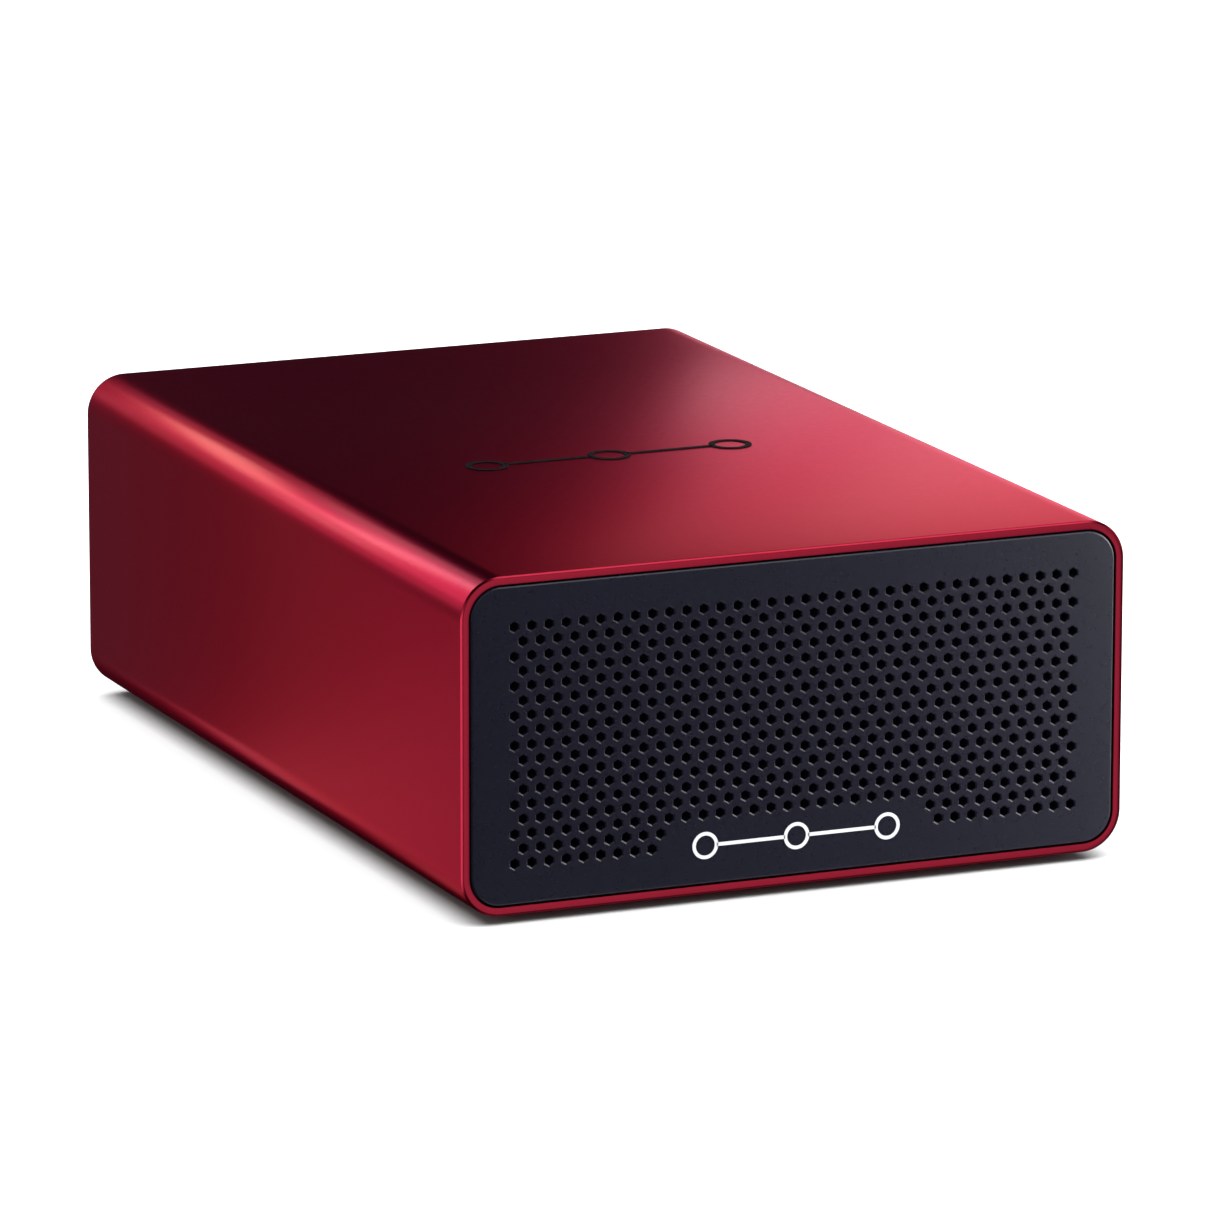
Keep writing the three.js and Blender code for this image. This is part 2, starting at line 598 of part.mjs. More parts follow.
const CHIP_Y = CARD_Y - 2;
const CARD_TOP = CARD_Z + BOARD_THICKNESS + CONTACT;
[['host_controller', 'host_heat_sink', 22, BOARD_TOP, 15],
  ['network_processor', 'network_heat_sink', 24, CARD_TOP, 18]].forEach(
  ([chip, sink, size, z, height]) => {
    add(chip, block(span(0, size), span(0, size), [0, CHIP_HEIGHT]), FINISH.chip,
      [CARD.x, CHIP_Y, z]);
    add(sink, heatSink(42, 42, height, 10), FINISH.bareAluminium,
      [CARD.x, CHIP_Y, z + CHIP_HEIGHT + CONTACT]);
  });

add('memory_chip', block(span(0, 11), span(0, 15), [0, 1.2]), FINISH.chip,
  [CARD.x + 30, CHIP_Y, BOARD_TOP]);
[0, 1].forEach((i) => {
  add(`filter_inductor_${i + 1}`, block(span(0, 10), span(0, 10), [0, 5]), FINISH.chip,
    [44, BOARD_MID_Y - 20 + 14 * i, BOARD_TOP]);
  add(`filter_capacitor_${i + 1}`, post(4, 0, 0, [0, 12], 24), FINISH.bareAluminium,
    [44, BOARD_MID_Y + 10 + 11 * i, BOARD_TOP]);
});

ETHERNET_X.forEach((x, i) => add(`ethernet_jack_${i + 1}`, ethernetJack(x), FINISH.nickel));
USB_X.forEach((x, i) => add(`usb_c_port_${i + 1}`, usbPort(x), FINISH.nickel));
CLOCK_X.forEach((x, i) => {
  add(`clock_connector_${i + 1}`, clockConnector(x), FINISH.nickel);
  add(`clock_nut_${i + 1}`, clockNut(x), FINISH.nickel);
});
add('power_inlet', dcInlet(), FINISH.blackPlastic);
add('switch_housing', switchHousing(), FINISH.blackPlastic);
add('switch_rocker', switchRocker(), FINISH.blackPlastic,
  [ROCKER.x, REAR - 0.6, UPPER_ROW_Z], [THREE.MathUtils.degToRad(ROCKER.tilt), 0, 0]);

add('fan_frame', fanFrame(), FINISH.blackPlastic);
add('fan_rotor', fanRotor(), FINISH.blackPlastic, [FAN.x, FAN_BACK - FAN.depth + 0.4, FAN_Z]);

add('fan_lead', lead([
  [FAN.x - 26.6, FAN_BACK - 9, 18], [5, FAN_BACK - 11, 17], [3, FAN_BACK - 20, 18],
  [5, FAN_BACK - 28, 19], [8, FAN_BACK - 30, 16],
], 1.2), FINISH.redWire);
add('power_lead', lead([
  [ROCKER.x, REAR - SWITCH.depth - 0.4, UPPER_ROW_Z], [ROCKER.x, REAR - 22, 46],
  [ROCKER.x + 6, REAR - 30, 38], [ROCKER.x + 20, REAR - 38, 28], [26, REAR - 42, 17],
], 1.4), FINISH.redWire);

export default part;
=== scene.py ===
import json
import math
import random

import bmesh
import bpy
from mathutils import Matrix, Vector

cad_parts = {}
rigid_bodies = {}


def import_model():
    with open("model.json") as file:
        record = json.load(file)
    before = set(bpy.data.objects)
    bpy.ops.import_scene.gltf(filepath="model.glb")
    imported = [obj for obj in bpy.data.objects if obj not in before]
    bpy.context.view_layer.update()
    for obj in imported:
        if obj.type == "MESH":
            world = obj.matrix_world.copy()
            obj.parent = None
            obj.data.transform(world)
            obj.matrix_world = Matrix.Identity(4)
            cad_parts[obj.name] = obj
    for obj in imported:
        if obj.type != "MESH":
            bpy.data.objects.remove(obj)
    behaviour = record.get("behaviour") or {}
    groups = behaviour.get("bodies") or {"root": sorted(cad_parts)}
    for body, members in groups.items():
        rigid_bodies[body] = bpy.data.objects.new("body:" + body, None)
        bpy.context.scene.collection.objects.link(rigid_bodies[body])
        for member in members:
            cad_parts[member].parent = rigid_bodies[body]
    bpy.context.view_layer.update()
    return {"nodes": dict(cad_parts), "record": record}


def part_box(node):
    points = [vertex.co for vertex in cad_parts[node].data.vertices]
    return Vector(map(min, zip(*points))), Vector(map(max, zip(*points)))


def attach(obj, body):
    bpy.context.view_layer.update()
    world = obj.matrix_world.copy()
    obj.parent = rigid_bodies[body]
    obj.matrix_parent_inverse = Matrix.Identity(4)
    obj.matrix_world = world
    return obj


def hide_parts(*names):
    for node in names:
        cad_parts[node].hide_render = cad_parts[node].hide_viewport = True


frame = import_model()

MM = 0.001
BODY_LOW, BODY_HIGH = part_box("outer_sleeve")
FRONT, REAR = BODY_LOW.y, BODY_HIGH.y
MID_Z = (BODY_LOW.z + BODY_HIGH.z) / 2


def add_object(name, data):
    made = bpy.data.objects.new(name, data)
    bpy.context.scene.collection.objects.link(made)
    return made


# ---- camera

CAMERA_AIM = Vector((-0.0399, FRONT, 0.0606))
CAMERA_AZIMUTH = math.radians(-23.215)
CAMERA_ELEVATION = math.radians(13.17)
CAMERA_ROLL = math.radians(0.06)
CAMERA_DISTANCE = 1.708
CAMERA_LENS = 265.8
CAMERA_SENSOR = 36
CAMERA_CLIP = (0.05, 50)


def make_camera():
    camera = add_object("camera", bpy.data.cameras.new("camera"))
    bpy.context.scene.camera = camera
    back = Vector((
        math.sin(CAMERA_AZIMUTH) * math.cos(CAMERA_ELEVATION),
        -math.cos(CAMERA_AZIMUTH) * math.cos(CAMERA_ELEVATION),
        math.sin(CAMERA_ELEVATION),
    ))
    turn = (-back).to_track_quat("-Z", "Y").to_matrix().to_4x4()
    camera.matrix_world = (Matrix.Translation(CAMERA_AIM + back * CAMERA_DISTANCE) @ turn
                           @ Matrix.Rotation(CAMERA_ROLL, 4, "Z"))
    camera.data.lens = CAMERA_LENS
    camera.data.sensor_width = CAMERA_SENSOR
    camera.data.clip_start, camera.data.clip_end = CAMERA_CLIP


# ---- materials

NOISE_RANGE = (0.3, 0.7)


class Nodes:
    """Short names for building one material's node tree."""

    def __init__(self, name):
        self.material = bpy.data.materials.new(name)
        self.material.use_nodes = True
        self.tree = self.material.node_tree
        self.shader = self.tree.nodes["Principled BSDF"]
        self.place = self.tree.nodes.new("ShaderNodeTexCoord").outputs["Object"]

    def link(self, source, target):
        self.tree.links.new(source, target)

    def node(self, kind, **values):
        """New node; each value goes to the input of that name, or else to the node itself."""
        made = self.tree.nodes.new(kind)
        for key, value in values.items():
            socket = key.replace("_", " ")
            if socket in made.inputs:
                made.inputs[socket].default_value = value
            else:
                setattr(made, key, value)
        return made

    def set(self, **values):
        for key, value in values.items():
            self.shader.inputs[key.replace("_", " ")].default_value = value

    def texture(self, kind, stretch=None, **values):
        """Texture in the piece's own coordinates, stretched along some axes if asked."""
        made = self.node(kind, **values)
        source = self.place
        if stretch:
            mapping = self.node("ShaderNodeMapping", Scale=stretch)
            self.link(source, mapping.inputs["Vector"])
            source = mapping.outputs["Vector"]
        self.link(source, made.inputs["Vector"])
        return made.outputs["Fac"]

    def noise(self, scale, detail, stretch=None):
        return self.texture("ShaderNodeTexNoise", stretch, Scale=scale, Detail=detail)

    def vary_color(self, factor, first, second):
        made = self.node("ShaderNodeMix", data_type="RGBA", A=(*first, 1), B=(*second, 1))
        self.link(factor, made.inputs["Factor"])
        self.link(made.outputs["Result"], self.shader.inputs["Base Color"])

    def vary_roughness(self, source, low, high):
        made = self.node("ShaderNodeMapRange", From_Min=NOISE_RANGE[0], From_Max=NOISE_RANGE[1],
                         To_Min=low, To_Max=high)
        self.link(source, made.inputs["Value"])
        self.link(made.outputs["Result"], self.shader.inputs["Roughness"])

    def bump(self, source, depth, strength):
        made = self.node("ShaderNodeBump", Strength=strength, Distance=depth)
        self.link(source, made.inputs["Height"])
        self.link(made.outputs["Normal"], self.shader.inputs["Normal"])


def grained(name, low, high, roughness=(0.45, 0.6), scales=(60, 2200 / 3, 2200),
            relief=(0.00004, 0.35), **values):
    """Material with uneven colour, roughness and relief; relief is its depth and strength."""
    m = Nodes(name)
    m.set(**values)
    m.vary_color(m.noise(scales[0], 3), low, high)
    m.vary_roughness(m.noise(scales[1], 3), *roughness)
    m.bump(m.noise(scales[2], 2), *relief)
    return m.material


def metal(name, low, high, roughness=(0.25, 0.4), stretch=None, depth=0.00002):
    m = Nodes(name)
    m.set(Metallic=1.0)
    m.vary_color(m.noise(80, 3), low, high)
    grain = m.noise(1500, 3, stretch)
    m.vary_roughness(grain, *roughness)
    m.bump(grain, depth, 0.3)
    return m.material


def circuit_board():
    """Solder mask with paler tracks under it."""
    m = Nodes("circuit_board")
    tracks = m.texture("ShaderNodeTexBrick", Scale=110, Mortar_Size=0.035, Mortar_Smooth=0.3)
    m.vary_color(tracks, (0.007, 0.055, 0.026), (0.030, 0.160, 0.070))
    m.vary_roughness(m.noise(700, 2), 0.28, 0.4)
    m.bump(tracks, 0.00003, 0.4)
    return m.material


# Near-black cloth, darker than any plastic here: painted shade for the dark inside of the case
# behind the front panel's holes.
def screen_cloth():
    m = Nodes("screen_cloth")
    m.set(Roughness=0.95, Specular_IOR_Level=0.1)
    m.vary_color(m.noise(400, 2), (0.002, 0.002, 0.0025), (0.004, 0.004, 0.0045))
    m.bump(m.texture("ShaderNodeTexBrick", Scale=900), 0.0001, 0.5)
    return m.material


def stage_floor():
    m = Nodes("floor")
    m.set(Roughness=0.9, Specular_IOR_Level=0.0)
    m.vary_color(m.noise(3, 2), (0.145, 0.145, 0.145), (0.155, 0.155, 0.155))
    return m.material


PRINTED = {"scales": (60, 4000 / 3, 4000), "relief": (0.00001, 0.35)}
GRAINED = {
    "red_aluminium": dict(
        low=(0.30, 0.0085, 0.028), high=(0.34, 0.0110, 0.033), roughness=(0.29, 0.32),
        scales=(14, 900, 2600), relief=(0.00003, 0.07), Metallic=1.0, Coat_Weight=0.13,
        Coat_Roughness=0.22, Sheen_Weight=0.007, Sheen_Roughness=0.5,
        Sheen_Tint=(0.45, 0.25, 0.9, 1), Specular_Tint=(1.0, 0.305, 0.41, 1)),
    "dark_panel": dict(
        low=(0.0020, 0.0020, 0.0065), high=(0.0028, 0.0028, 0.0085), roughness=(0.27, 0.3),
        scales=(40, 1500, 3200), relief=(0.00002, 0.08), Specular_IOR_Level=0.38),
    "black_plastic": dict(low=(0.010, 0.010, 0.011), high=(0.016, 0.016, 0.018)),
    "light_print": dict(low=(0.46, 0.47, 0.50), high=(0.54, 0.55, 0.58), **PRINTED),
    "dark_print": dict(low=(0.004, 0.002, 0.003), high=(0.008, 0.004, 0.006),
                       roughness=(0.6, 0.7), Specular_IOR_Level=0.1, **PRINTED),
    "chip_resin": dict(low=(0.012, 0.012, 0.013), high=(0.02, 0.02, 0.021)),
    "white_insulator": dict(low=(0.72, 0.71, 0.67), high=(0.80, 0.79, 0.75)),
    "ceramic": dict(low=(0.36, 0.24, 0.13), high=(0.46, 0.32, 0.18)),
    "light_pipe": dict(low=(0.42, 0.45, 0.40), high=(0.52, 0.55, 0.50), roughness=(0.15, 0.25)),
    "rubber": dict(low=(0.014, 0.014, 0.015), high=(0.024, 0.024, 0.025), roughness=(0.75, 0.9),
                   scales=(60, 500, 1500)),
    "lead_insulation": dict(low=(0.25, 0.01, 0.01), high=(0.34, 0.02, 0.02)),
}
METALS = {
    "black_steel": dict(low=(0.02, 0.02, 0.022), high=(0.035, 0.035, 0.038)),
    "zinc_steel": dict(low=(0.50, 0.51, 0.53), high=(0.62, 0.63, 0.64)),
    "bare_aluminium": dict(low=(0.66, 0.67, 0.69), high=(0.76, 0.77, 0.78),
                           roughness=(0.3, 0.45), stretch=(1, 0.04, 1)),
    "nickel": dict(low=(0.66, 0.66, 0.64), high=(0.76, 0.76, 0.74), roughness=(0.24, 0.34),
                   depth=0.000002),
    "brass": dict(low=(0.70, 0.50, 0.20), high=(0.80, 0.60, 0.28), roughness=(0.22, 0.34)),
    "gold_plate": dict(low=(0.78, 0.55, 0.18), high=(0.86, 0.64, 0.26), roughness=(0.18, 0.28),
                       depth=0.000002),
}
MATERIALS = {name: grained(name, **look) for name, look in GRAINED.items()}
MATERIALS |= {name: metal(name, **look) for name, look in METALS.items()}
MATERIALS |= {"circuit_board": circuit_board(), "screen_cloth": screen_cloth()}


# ---- outlines and paths

CORNERS = ((-1, -1), (-1, 1), (1, -1), (1, 1))


def around(middle, half):
    return middle - half, middle + half


def rectangle(x, z):
    return [(x[0], z[0]), (x[1], z[0]), (x[1], z[1]), (x[0], z[1])]


def circle(x, z, radius, count=48, start=0.0):
    """Corners of a regular polygon, or of a circle when there are many of them."""
    angles = [start + 2 * math.pi * i / count for i in range(count)]
    return [(x + radius * math.cos(a), z + radius * math.sin(a)) for a in angles]


def round_box(x, z, width, height, radius, steps=6, support=0.0):
    """Outline of a rounded rectangle; support adds a point on the flats beside each arc."""
    points = []
    for corner, (sx, sz) in enumerate(((1, 1), (-1, 1), (-1, -1), (1, -1))):
        angles = [(corner + step / steps) * math.pi / 2 for step in range(steps + 1)]
        arc = [(x + sx * (width / 2 - radius) + radius * math.cos(a),
                z + sz * (height / 2 - radius) + radius * math.sin(a)) for a in angles]
        if support:
            first, last = angles[0], angles[-1]
            arc.insert(0, (arc[0][0] + support * math.sin(first),
                           arc[0][1] - support * math.cos(first)))
            arc.append((arc[-1][0] - support * math.sin(last),
                        arc[-1][1] + support * math.cos(last)))
        points += arc
    return points


def polygon_radius(radius, sides, angle):
    """Distance from the centre to a regular polygon's side, in one direction."""
    half = math.pi / sides
    return radius * math.cos(half) / math.cos((angle + half) % (2 * half) - half)


def on_axis(axis, u, v, along):
    """Point from two places across an axis and one along it."""
    return {"x": (along, u, v), "y": (u, along, v), "z": (u, v, along)}[axis]


def smooth_path(points, steps=8):
    """Catmull-Rom curve through points."""
    points = [Vector(p) for p in points]
    ends = [2 * points[0] - points[1], *points, 2 * points[-1] - points[-2]]
    path = []
    for a, b, c, d in zip(ends, ends[1:], ends[2:], ends[3:]):
        for step in range(steps):
            t = step / steps
            path.append(0.5 * (2 * b + (c - a) * t + (2 * a - 5 * b + 4 * c - d) * t * t
                               + (3 * b - a - 3 * c + d) * t ** 3))
    return path + [points[-1]]


def path_frames(path):
    """Two directions across a path at each of its points, carried along without twist."""
    side = None
    for i in range(len(path)):
        ahead = (path[min(i + 1, len(path) - 1)] - path[max(i - 1, 0)]).normalized()
        side = side or ahead.orthogonal().normalized()
        side = (side - ahead * side.dot(ahead)).normalized()
        yield side, ahead.cross(side)


# ---- meshes

def skin(bm, rings, closed=False):
    """Faces between rings of vertices, of which some may be a single point."""
    for here, there in zip(rings, rings[1:] + rings[:1] if closed else rings[1:]):
        count = max(len(here), len(there))
        for i in range(count):
            j = (i + 1) % count
            corners = [here[0]] if len(here) == 1 else [here[j], here[i]]
            corners += [there[0]] if len(there) == 1 else [there[i], there[j]]
            bm.faces.new(corners)


def finish_mesh(name, bm, slot, body="case", sharp=30):
    """Turns a bmesh into a piece that rides on a body and is smooth except at sharp edges."""
    bmesh.ops.remove_doubles(bm, verts=bm.verts, dist=1e-7)
    bmesh.ops.recalc_face_normals(bm, faces=bm.faces)
    mesh = bpy.data.meshes.new(name)
    bm.to_mesh(mesh)
    bm.free()
    mesh.shade_smooth()
    mesh.set_sharp_from_angle(angle=math.radians(sharp))
    mesh.materials.append(MATERIALS[slot])
    piece = add_object(name, mesh)
    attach(piece, body)
    return piece


def bevel(piece, width, degrees):
    """Rounds the edges of a piece that are sharper than an angle; width in millimetres."""
    edge = piece.modifiers.new("soft", "BEVEL")
    edge.width = width * MM
    edge.segments = 2
    edge.limit_method = "ANGLE"
    edge.angle_limit = math.radians(degrees)
    return edge


def node_span(name):
    """A frame node's low and high corners and its middle in millimetres."""
    low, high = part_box(name)
    return low / MM, high / MM, (low + high) / (2 * MM)


class Shape:
    """A mesh drawn in millimetres out of closed solids, which becomes one piece."""

    def __init__(self, mesh=None):
        self.bm = bmesh.new()
        if mesh:
            self.bm.from_mesh(mesh)

    def ring(self, points):
        return [self.bm.verts.new(p) for p in points]

    def slab(self, outline, span, holes=(), axis="y"):
        """Plate between two places along an axis, with holes right through it."""
        edges = ([], [])
        for loop in (outline, *holes):
            rings = [self.ring(on_axis(axis, u, v, along) for u, v in loop) for along in span]
            skin(self.bm, rings)
            for side, ring in zip(edges, rings):
                side += [self.bm.edges.get((ring[i - 1], ring[i])) for i in range(len(ring))]
        for side in edges:
            bmesh.ops.triangle_fill(self.bm, use_beauty=True, edges=side)
        return self

    def plate(self, outline, span, hole=None, axis="y"):
        """Slab with a rounded outline and maybe a rounded hole, both as round_box takes them."""
        return self.slab(round_box(*outline), span, [round_box(*hole)] if hole else (), axis)

    def box(self, x, y, z):
        """Block given by its limits along each axis."""
        return self.slab(rectangle(x, z), y)

    def lathe(self, profile, centre, axis="y", way=1, count=48, closed=False):
        """Turned solid: each profile point is radius, distance along, and any polygon's sides."""
        rings = []
        for radius, along, *sides in profile:
            angles = [2 * math.pi * i / count for i in range(count if radius else 1)]
            reach = [polygon_radius(radius, sides[0], a) if sides else radius for a in angles]
            offsets = [on_axis(axis, r * math.cos(a), r * math.sin(a), way * along)
                       for a, r in zip(angles, reach)]
            rings.append(self.ring(Vector(centre) + Vector(offset) for offset in offsets))
        skin(self.bm, rings, closed)
        return self

    def pipe(self, outer, inner, span, centre, axis="y", count=48):
        """Straight tube with a bore."""
        profile = [(outer, span[0]), (outer, span[1]), (inner, span[1]), (inner, span[0])]
        return self.lathe(profile, centre, axis, count=count, closed=True)

    def tube(self, path, radius, count=12):
        """Round bar along a path, with flat ends."""
        path = [Vector(p) for p in path]
        angles = [2 * math.pi * k / count for k in range(count)]
        rings = [self.ring(point + radius * (math.cos(a) * side + math.sin(a) * up) for a in angles)
                 for point, (side, up) in zip(path, path_frames(path))]
        skin(self.bm, [self.ring(path[:1]), *rings, self.ring(path[-1:])])
        return self

    def turn(self, matrix):
        bmesh.ops.transform(self.bm, matrix=matrix, verts=self.bm.verts)
        return self

    def piece(self, name, slot, replaced=(), body="case", soften=0.0, material=None, sharp=32):
        bmesh.ops.transform(self.bm, matrix=Matrix.Scale(MM, 4), verts=self.bm.verts)
        made = finish_mesh(name, self.bm, slot, body, sharp)
        if material:
            made.data.materials[0] = MATERIALS[material]
        if soften:
            bevel(made, soften, 35)
        made.modifiers.new("normals", "WEIGHTED_NORMAL").keep_sharp = True
        if replaced:
            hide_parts(replaced)


# ---- sleeve

BODY_WIDTH = BODY_HIGH.x - BODY_LOW.x
BODY_HEIGHT = BODY_HIGH.z - BODY_LOW.z
PANEL_LOW, PANEL_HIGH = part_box("front_panel")
PANEL_FIT = 0.3 * MM
INNER_WIDTH = PANEL_HIGH.x - PANEL_LOW.x + 2 * PANEL_FIT
INNER_HEIGHT = PANEL_HIGH.z - PANEL_LOW.z + 2 * PANEL_FIT
BODY_RADIUS = 8.1 * MM
WALL = (BODY_WIDTH - INNER_WIDTH) / 2
INNER_RADIUS = BODY_RADIUS - WALL
EDGE_CHAMFER = 0.36 * MM
EDGE_SOFT = 0.1 * MM


def section(bm, width, height, radius, inset, y):
    """Ring of vertices round the body's axis: a rounded rectangle, taken in by an inset."""
    outline = round_box(0, MID_Z, width - 2 * inset, height - 2 * inset, radius - inset, 16,
                        0.6 * MM)
    return [bm.verts.new((x, y, z)) for x, z in outline]


def sleeve():
    bm = bmesh.new()
    outside = (BODY_WIDTH, BODY_HEIGHT, BODY_RADIUS)
    inside = (INNER_WIDTH, INNER_HEIGHT, INNER_RADIUS)
    c, s = EDGE_CHAMFER, EDGE_SOFT
    # Insets and depths across a machined end, from the outside face inwards, and then its lip.
    edge = [(0, c + s), (0.2 * s, c + 0.3 * s), (0.7 * s, c - 0.4 * s),
            (c - 0.4 * s, 0.7 * s), (c + 0.3 * s, 0.2 * s), (c + s, 0)]
    lip = [(-s, 0), (-0.3 * s, 0.3 * s), (0, s)]
    rings = [section(bm, *outside, inset, FRONT + depth) for inset, depth in reversed(edge)]
    rings += [section(bm, *outside, inset, REAR - depth) for inset, depth in edge]
    rings += [section(bm, *inside, inset, REAR - depth) for inset, depth in lip]
    rings += [section(bm, *inside, inset, FRONT + depth) for inset, depth in reversed(lip)]
    skin(bm, rings, closed=True)
    piece = finish_mesh("sleeve", bm, "red_aluminium", sharp=50)
    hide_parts("outer_sleeve")


# ---- front panel

HOLE_PITCH = 3.575 * MM
ROW_PITCH = 2.907 * MM
ROW_COUNT = 17
LONG_ROW = 34
MARK_ROWS = 2
MARK_ROW_SIDE = 9
HOLE_RADIUS = 1.04 * MM
HOLE_CHAMFER = 0.30 * MM
HOLE_CHAMFER_DEPTH = 0.15 * MM
PANEL_BEVEL = 0.45 * MM
BEVEL_STEPS = 4
ACROSS, RISE = HOLE_PITCH / 2, ROW_PITCH / 2
# The plate round one hole, matched corner by corner to its hexagon, and half of it at a row's end.
CELL = ((ACROSS, RISE), (0, RISE), (-ACROSS, RISE), (-ACROSS, -RISE), (0, -RISE), (ACROSS, -RISE))
LEFT_HALF = ((0, RISE), (-ACROSS, RISE), (-ACROSS, -RISE), (0, -RISE))
RIGHT_HALF = tuple((-x, z) for x, z in LEFT_HALF)


def hexagon(bm, x, z, radius, y):
    """Ring of a hexagon that stands on a corner, from its right-hand upper corner round."""
    return [bm.verts.new((u, y, v)) for u, v in circle(x, z, radius, 6, math.pi / 6)]


def panel_cells():
    """Every cell of the lattice as its centre, its outline and whether it has a hole."""
    for row in range(ROW_COUNT):
        z = MID_Z + ((ROW_COUNT - 1) / 2 - row) * ROW_PITCH
        count = LONG_ROW - row % 2
        for i in range(count):
            is_side = i < MARK_ROW_SIDE or i >= count - MARK_ROW_SIDE
            has_hole = row < ROW_COUNT - MARK_ROWS or is_side
            yield (i - (count - 1) / 2) * HOLE_PITCH, z, CELL, has_hole
        if row % 2:
            for side, half in ((-1, RIGHT_HALF), (1, LEFT_HALF)):
                yield side * LONG_ROW / 2 * HOLE_PITCH, z, half, False


def perforated_face(bm, y, chamfer, ring):
    """One face of the panel, out to a ring of vertices; returns the rims of its holes."""
    corners, rims = {}, []

    def vertex(x, z):
        key = (round(x * 1e7), round(z * 1e7))
        if key not in corners:
            corners[key] = bm.verts.new((x, y, z))
        return corners[key]

    for x, z, outline, has_hole in panel_cells():
        cell = [vertex(x + dx, z + dz) for dx, dz in outline]
        if has_hole:
            rims.append(hexagon(bm, x, z, HOLE_RADIUS + chamfer, y))
            skin(bm, [rims[-1], cell])
        else:
            bm.faces.new(cell)
    free = {*corners.values(), *ring}
    margin = [e for e in bm.edges if e.is_boundary and free.issuperset(e.verts)]
    bmesh.ops.triangle_fill(bm, use_beauty=True, use_dissolve=False, edges=margin)
    return rims


def front_panel():
    bm = bmesh.new()
    size = (PANEL_HIGH.x - PANEL_LOW.x, PANEL_HIGH.z - PANEL_LOW.z, INNER_RADIUS - PANEL_FIT)
    angles = [math.radians(90 * i / BEVEL_STEPS) for i in range(BEVEL_STEPS + 1)]
    rings = [section(bm, *size, PANEL_BEVEL * (1 - math.sin(a)),
                     PANEL_LOW.y + PANEL_BEVEL * (1 - math.cos(a))) for a in angles]
    rings.append(section(bm, *size, 0, PANEL_HIGH.y))
    skin(bm, rings)
    front_rims = perforated_face(bm, PANEL_LOW.y, HOLE_CHAMFER, rings[0])
    back_rims = perforated_face(bm, PANEL_HIGH.y, 0, rings[-1])
    holes = [(x, z) for x, z, _, has_hole in panel_cells() if has_hole]
    for (x, z), front, back in zip(holes, front_rims, back_rims):
        throat = hexagon(bm, x, z, HOLE_RADIUS, PANEL_LOW.y + HOLE_CHAMFER_DEPTH)
        skin(bm, [front, throat, back])
    piece = finish_mesh("perforated_panel", bm, "dark_panel", sharp=24)
    piece.modifiers.new("shade", "WEIGHTED_NORMAL").keep_sharp = True
    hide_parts("front_panel")


# ---- marks, feet and screws

def link_mark(name, node, slot, width, radius, stroke, axis):
    """Generic mark of three linked rings, printed flat on a face."""
    low, high, middle = node_span(node)
    span, row = ((low.y, high.y), middle.z) if axis == "y" else ((low.z, high.z), middle.y)
    pitch = width / 2 - radius
    reach = (pitch - 2 * radius) / 2 + stroke * 0.4
    shape = Shape()
    for side in (-1, 0, 1):
        shape.pipe(radius, radius - stroke, span, on_axis(axis, side * pitch, row, 0), axis, 64)
    for side in (-1, 1):
        bar = rectangle(around(side * pitch / 2, reach), around(row, stroke / 2))
        shape.slab(bar, span, axis=axis)
    shape.piece(name, slot, node)


def feet():
    for place in ("front_left", "front_right", "rear_left", "rear_right"):
        _, high, middle = node_span(f"foot_{place}")
        profile = [(0, 0.35), (2.6, 0.35), (2.9, 0.0), (5.7, 0.0), (6.25, 0.12), (6.6, 0.45),
                   (6.9, 1.2), (7.0, high.z), (0, high.z)]
        Shape().lathe(profile, (middle.x, middle.y, 0), "z", count=72).piece(
            f"rubber_foot_{place}", "rubber", f"foot_{place}", soften=0.08)


# Of every screw: the head's height, the shank's radius and the socket's radius.
HEAD_RISE, SHANK, KEY = 1.6, 1.2, 1.15


def screw_profile(head, length):
    """Domed head with a hexagonal socket, and a shank with fine threads."""
    top = -HEAD_RISE
    profile = [(0, top + 1.05), (KEY * 0.92, top + 1.05, 6), (KEY, top + 0.12, 6),
               (KEY * 1.12, top), (head * 0.62, top), (head * 0.84, top * 0.88),
               (head * 0.96, top * 0.62), (head, top * 0.3), (head, -0.02),
               (SHANK + 0.1, 0), (SHANK, 0.2)]
    along = 0.6
    while along < length - 0.8:
        profile += [(SHANK, along), (SHANK * 0.86, along + 0.25)]
        along += 0.5
    return profile + [(SHANK * 0.8, length - 0.3), (SHANK * 0.5, length), (0, length)]


def screws():
    kinds = (("carrier_screw", "zinc_steel", 2.4, "y", 1, 9),
             ("rear_screw", "black_steel", 2.6, "y", -1, 10),
             ("fan_screw", "black_steel", 2.6, "y", -1, 12),
             ("board_screw", "zinc_steel", 2.6, "z", -1, 5))
    for kind, slot, head, axis, way, length in kinds:
        for i in range(1, 5):
            low, high, centre = node_span(f"{kind}_{i}")
            seat = "xyz".index(axis)
            centre[seat] = low[seat] + HEAD_RISE if way > 0 else high[seat] - HEAD_RISE
            Shape().lathe(screw_profile(head, length), centre, axis, way).piece(
                f"{kind}_turned_{i}", slot, f"{kind}_{i}")


# ---- rear panel and connectors

REAR_MM = REAR / MM
MID_MM = MID_Z / MM
UPPER_ROW = 47.0
JACK_X = (-47, -29)
USB_X = (-13, 0)
CLOCK_X = (-54, -36)
INLET_X = -19
ROCKER_X = -2.5
LOCK_X = 62
FAN_X, FAN_Z = 34, 37
FAN_SCREWS = [(FAN_X + 20 * a, FAN_Z + 20 * b) for a, b in CORNERS]
CORNER_SCREWS = [(63.6 * a, MID_MM + 26.95 * b) for a, b in CORNERS]
VENT_RADIUS, VENT_HOLE, VENT_PITCH = 24.0, 2.3, 6.0


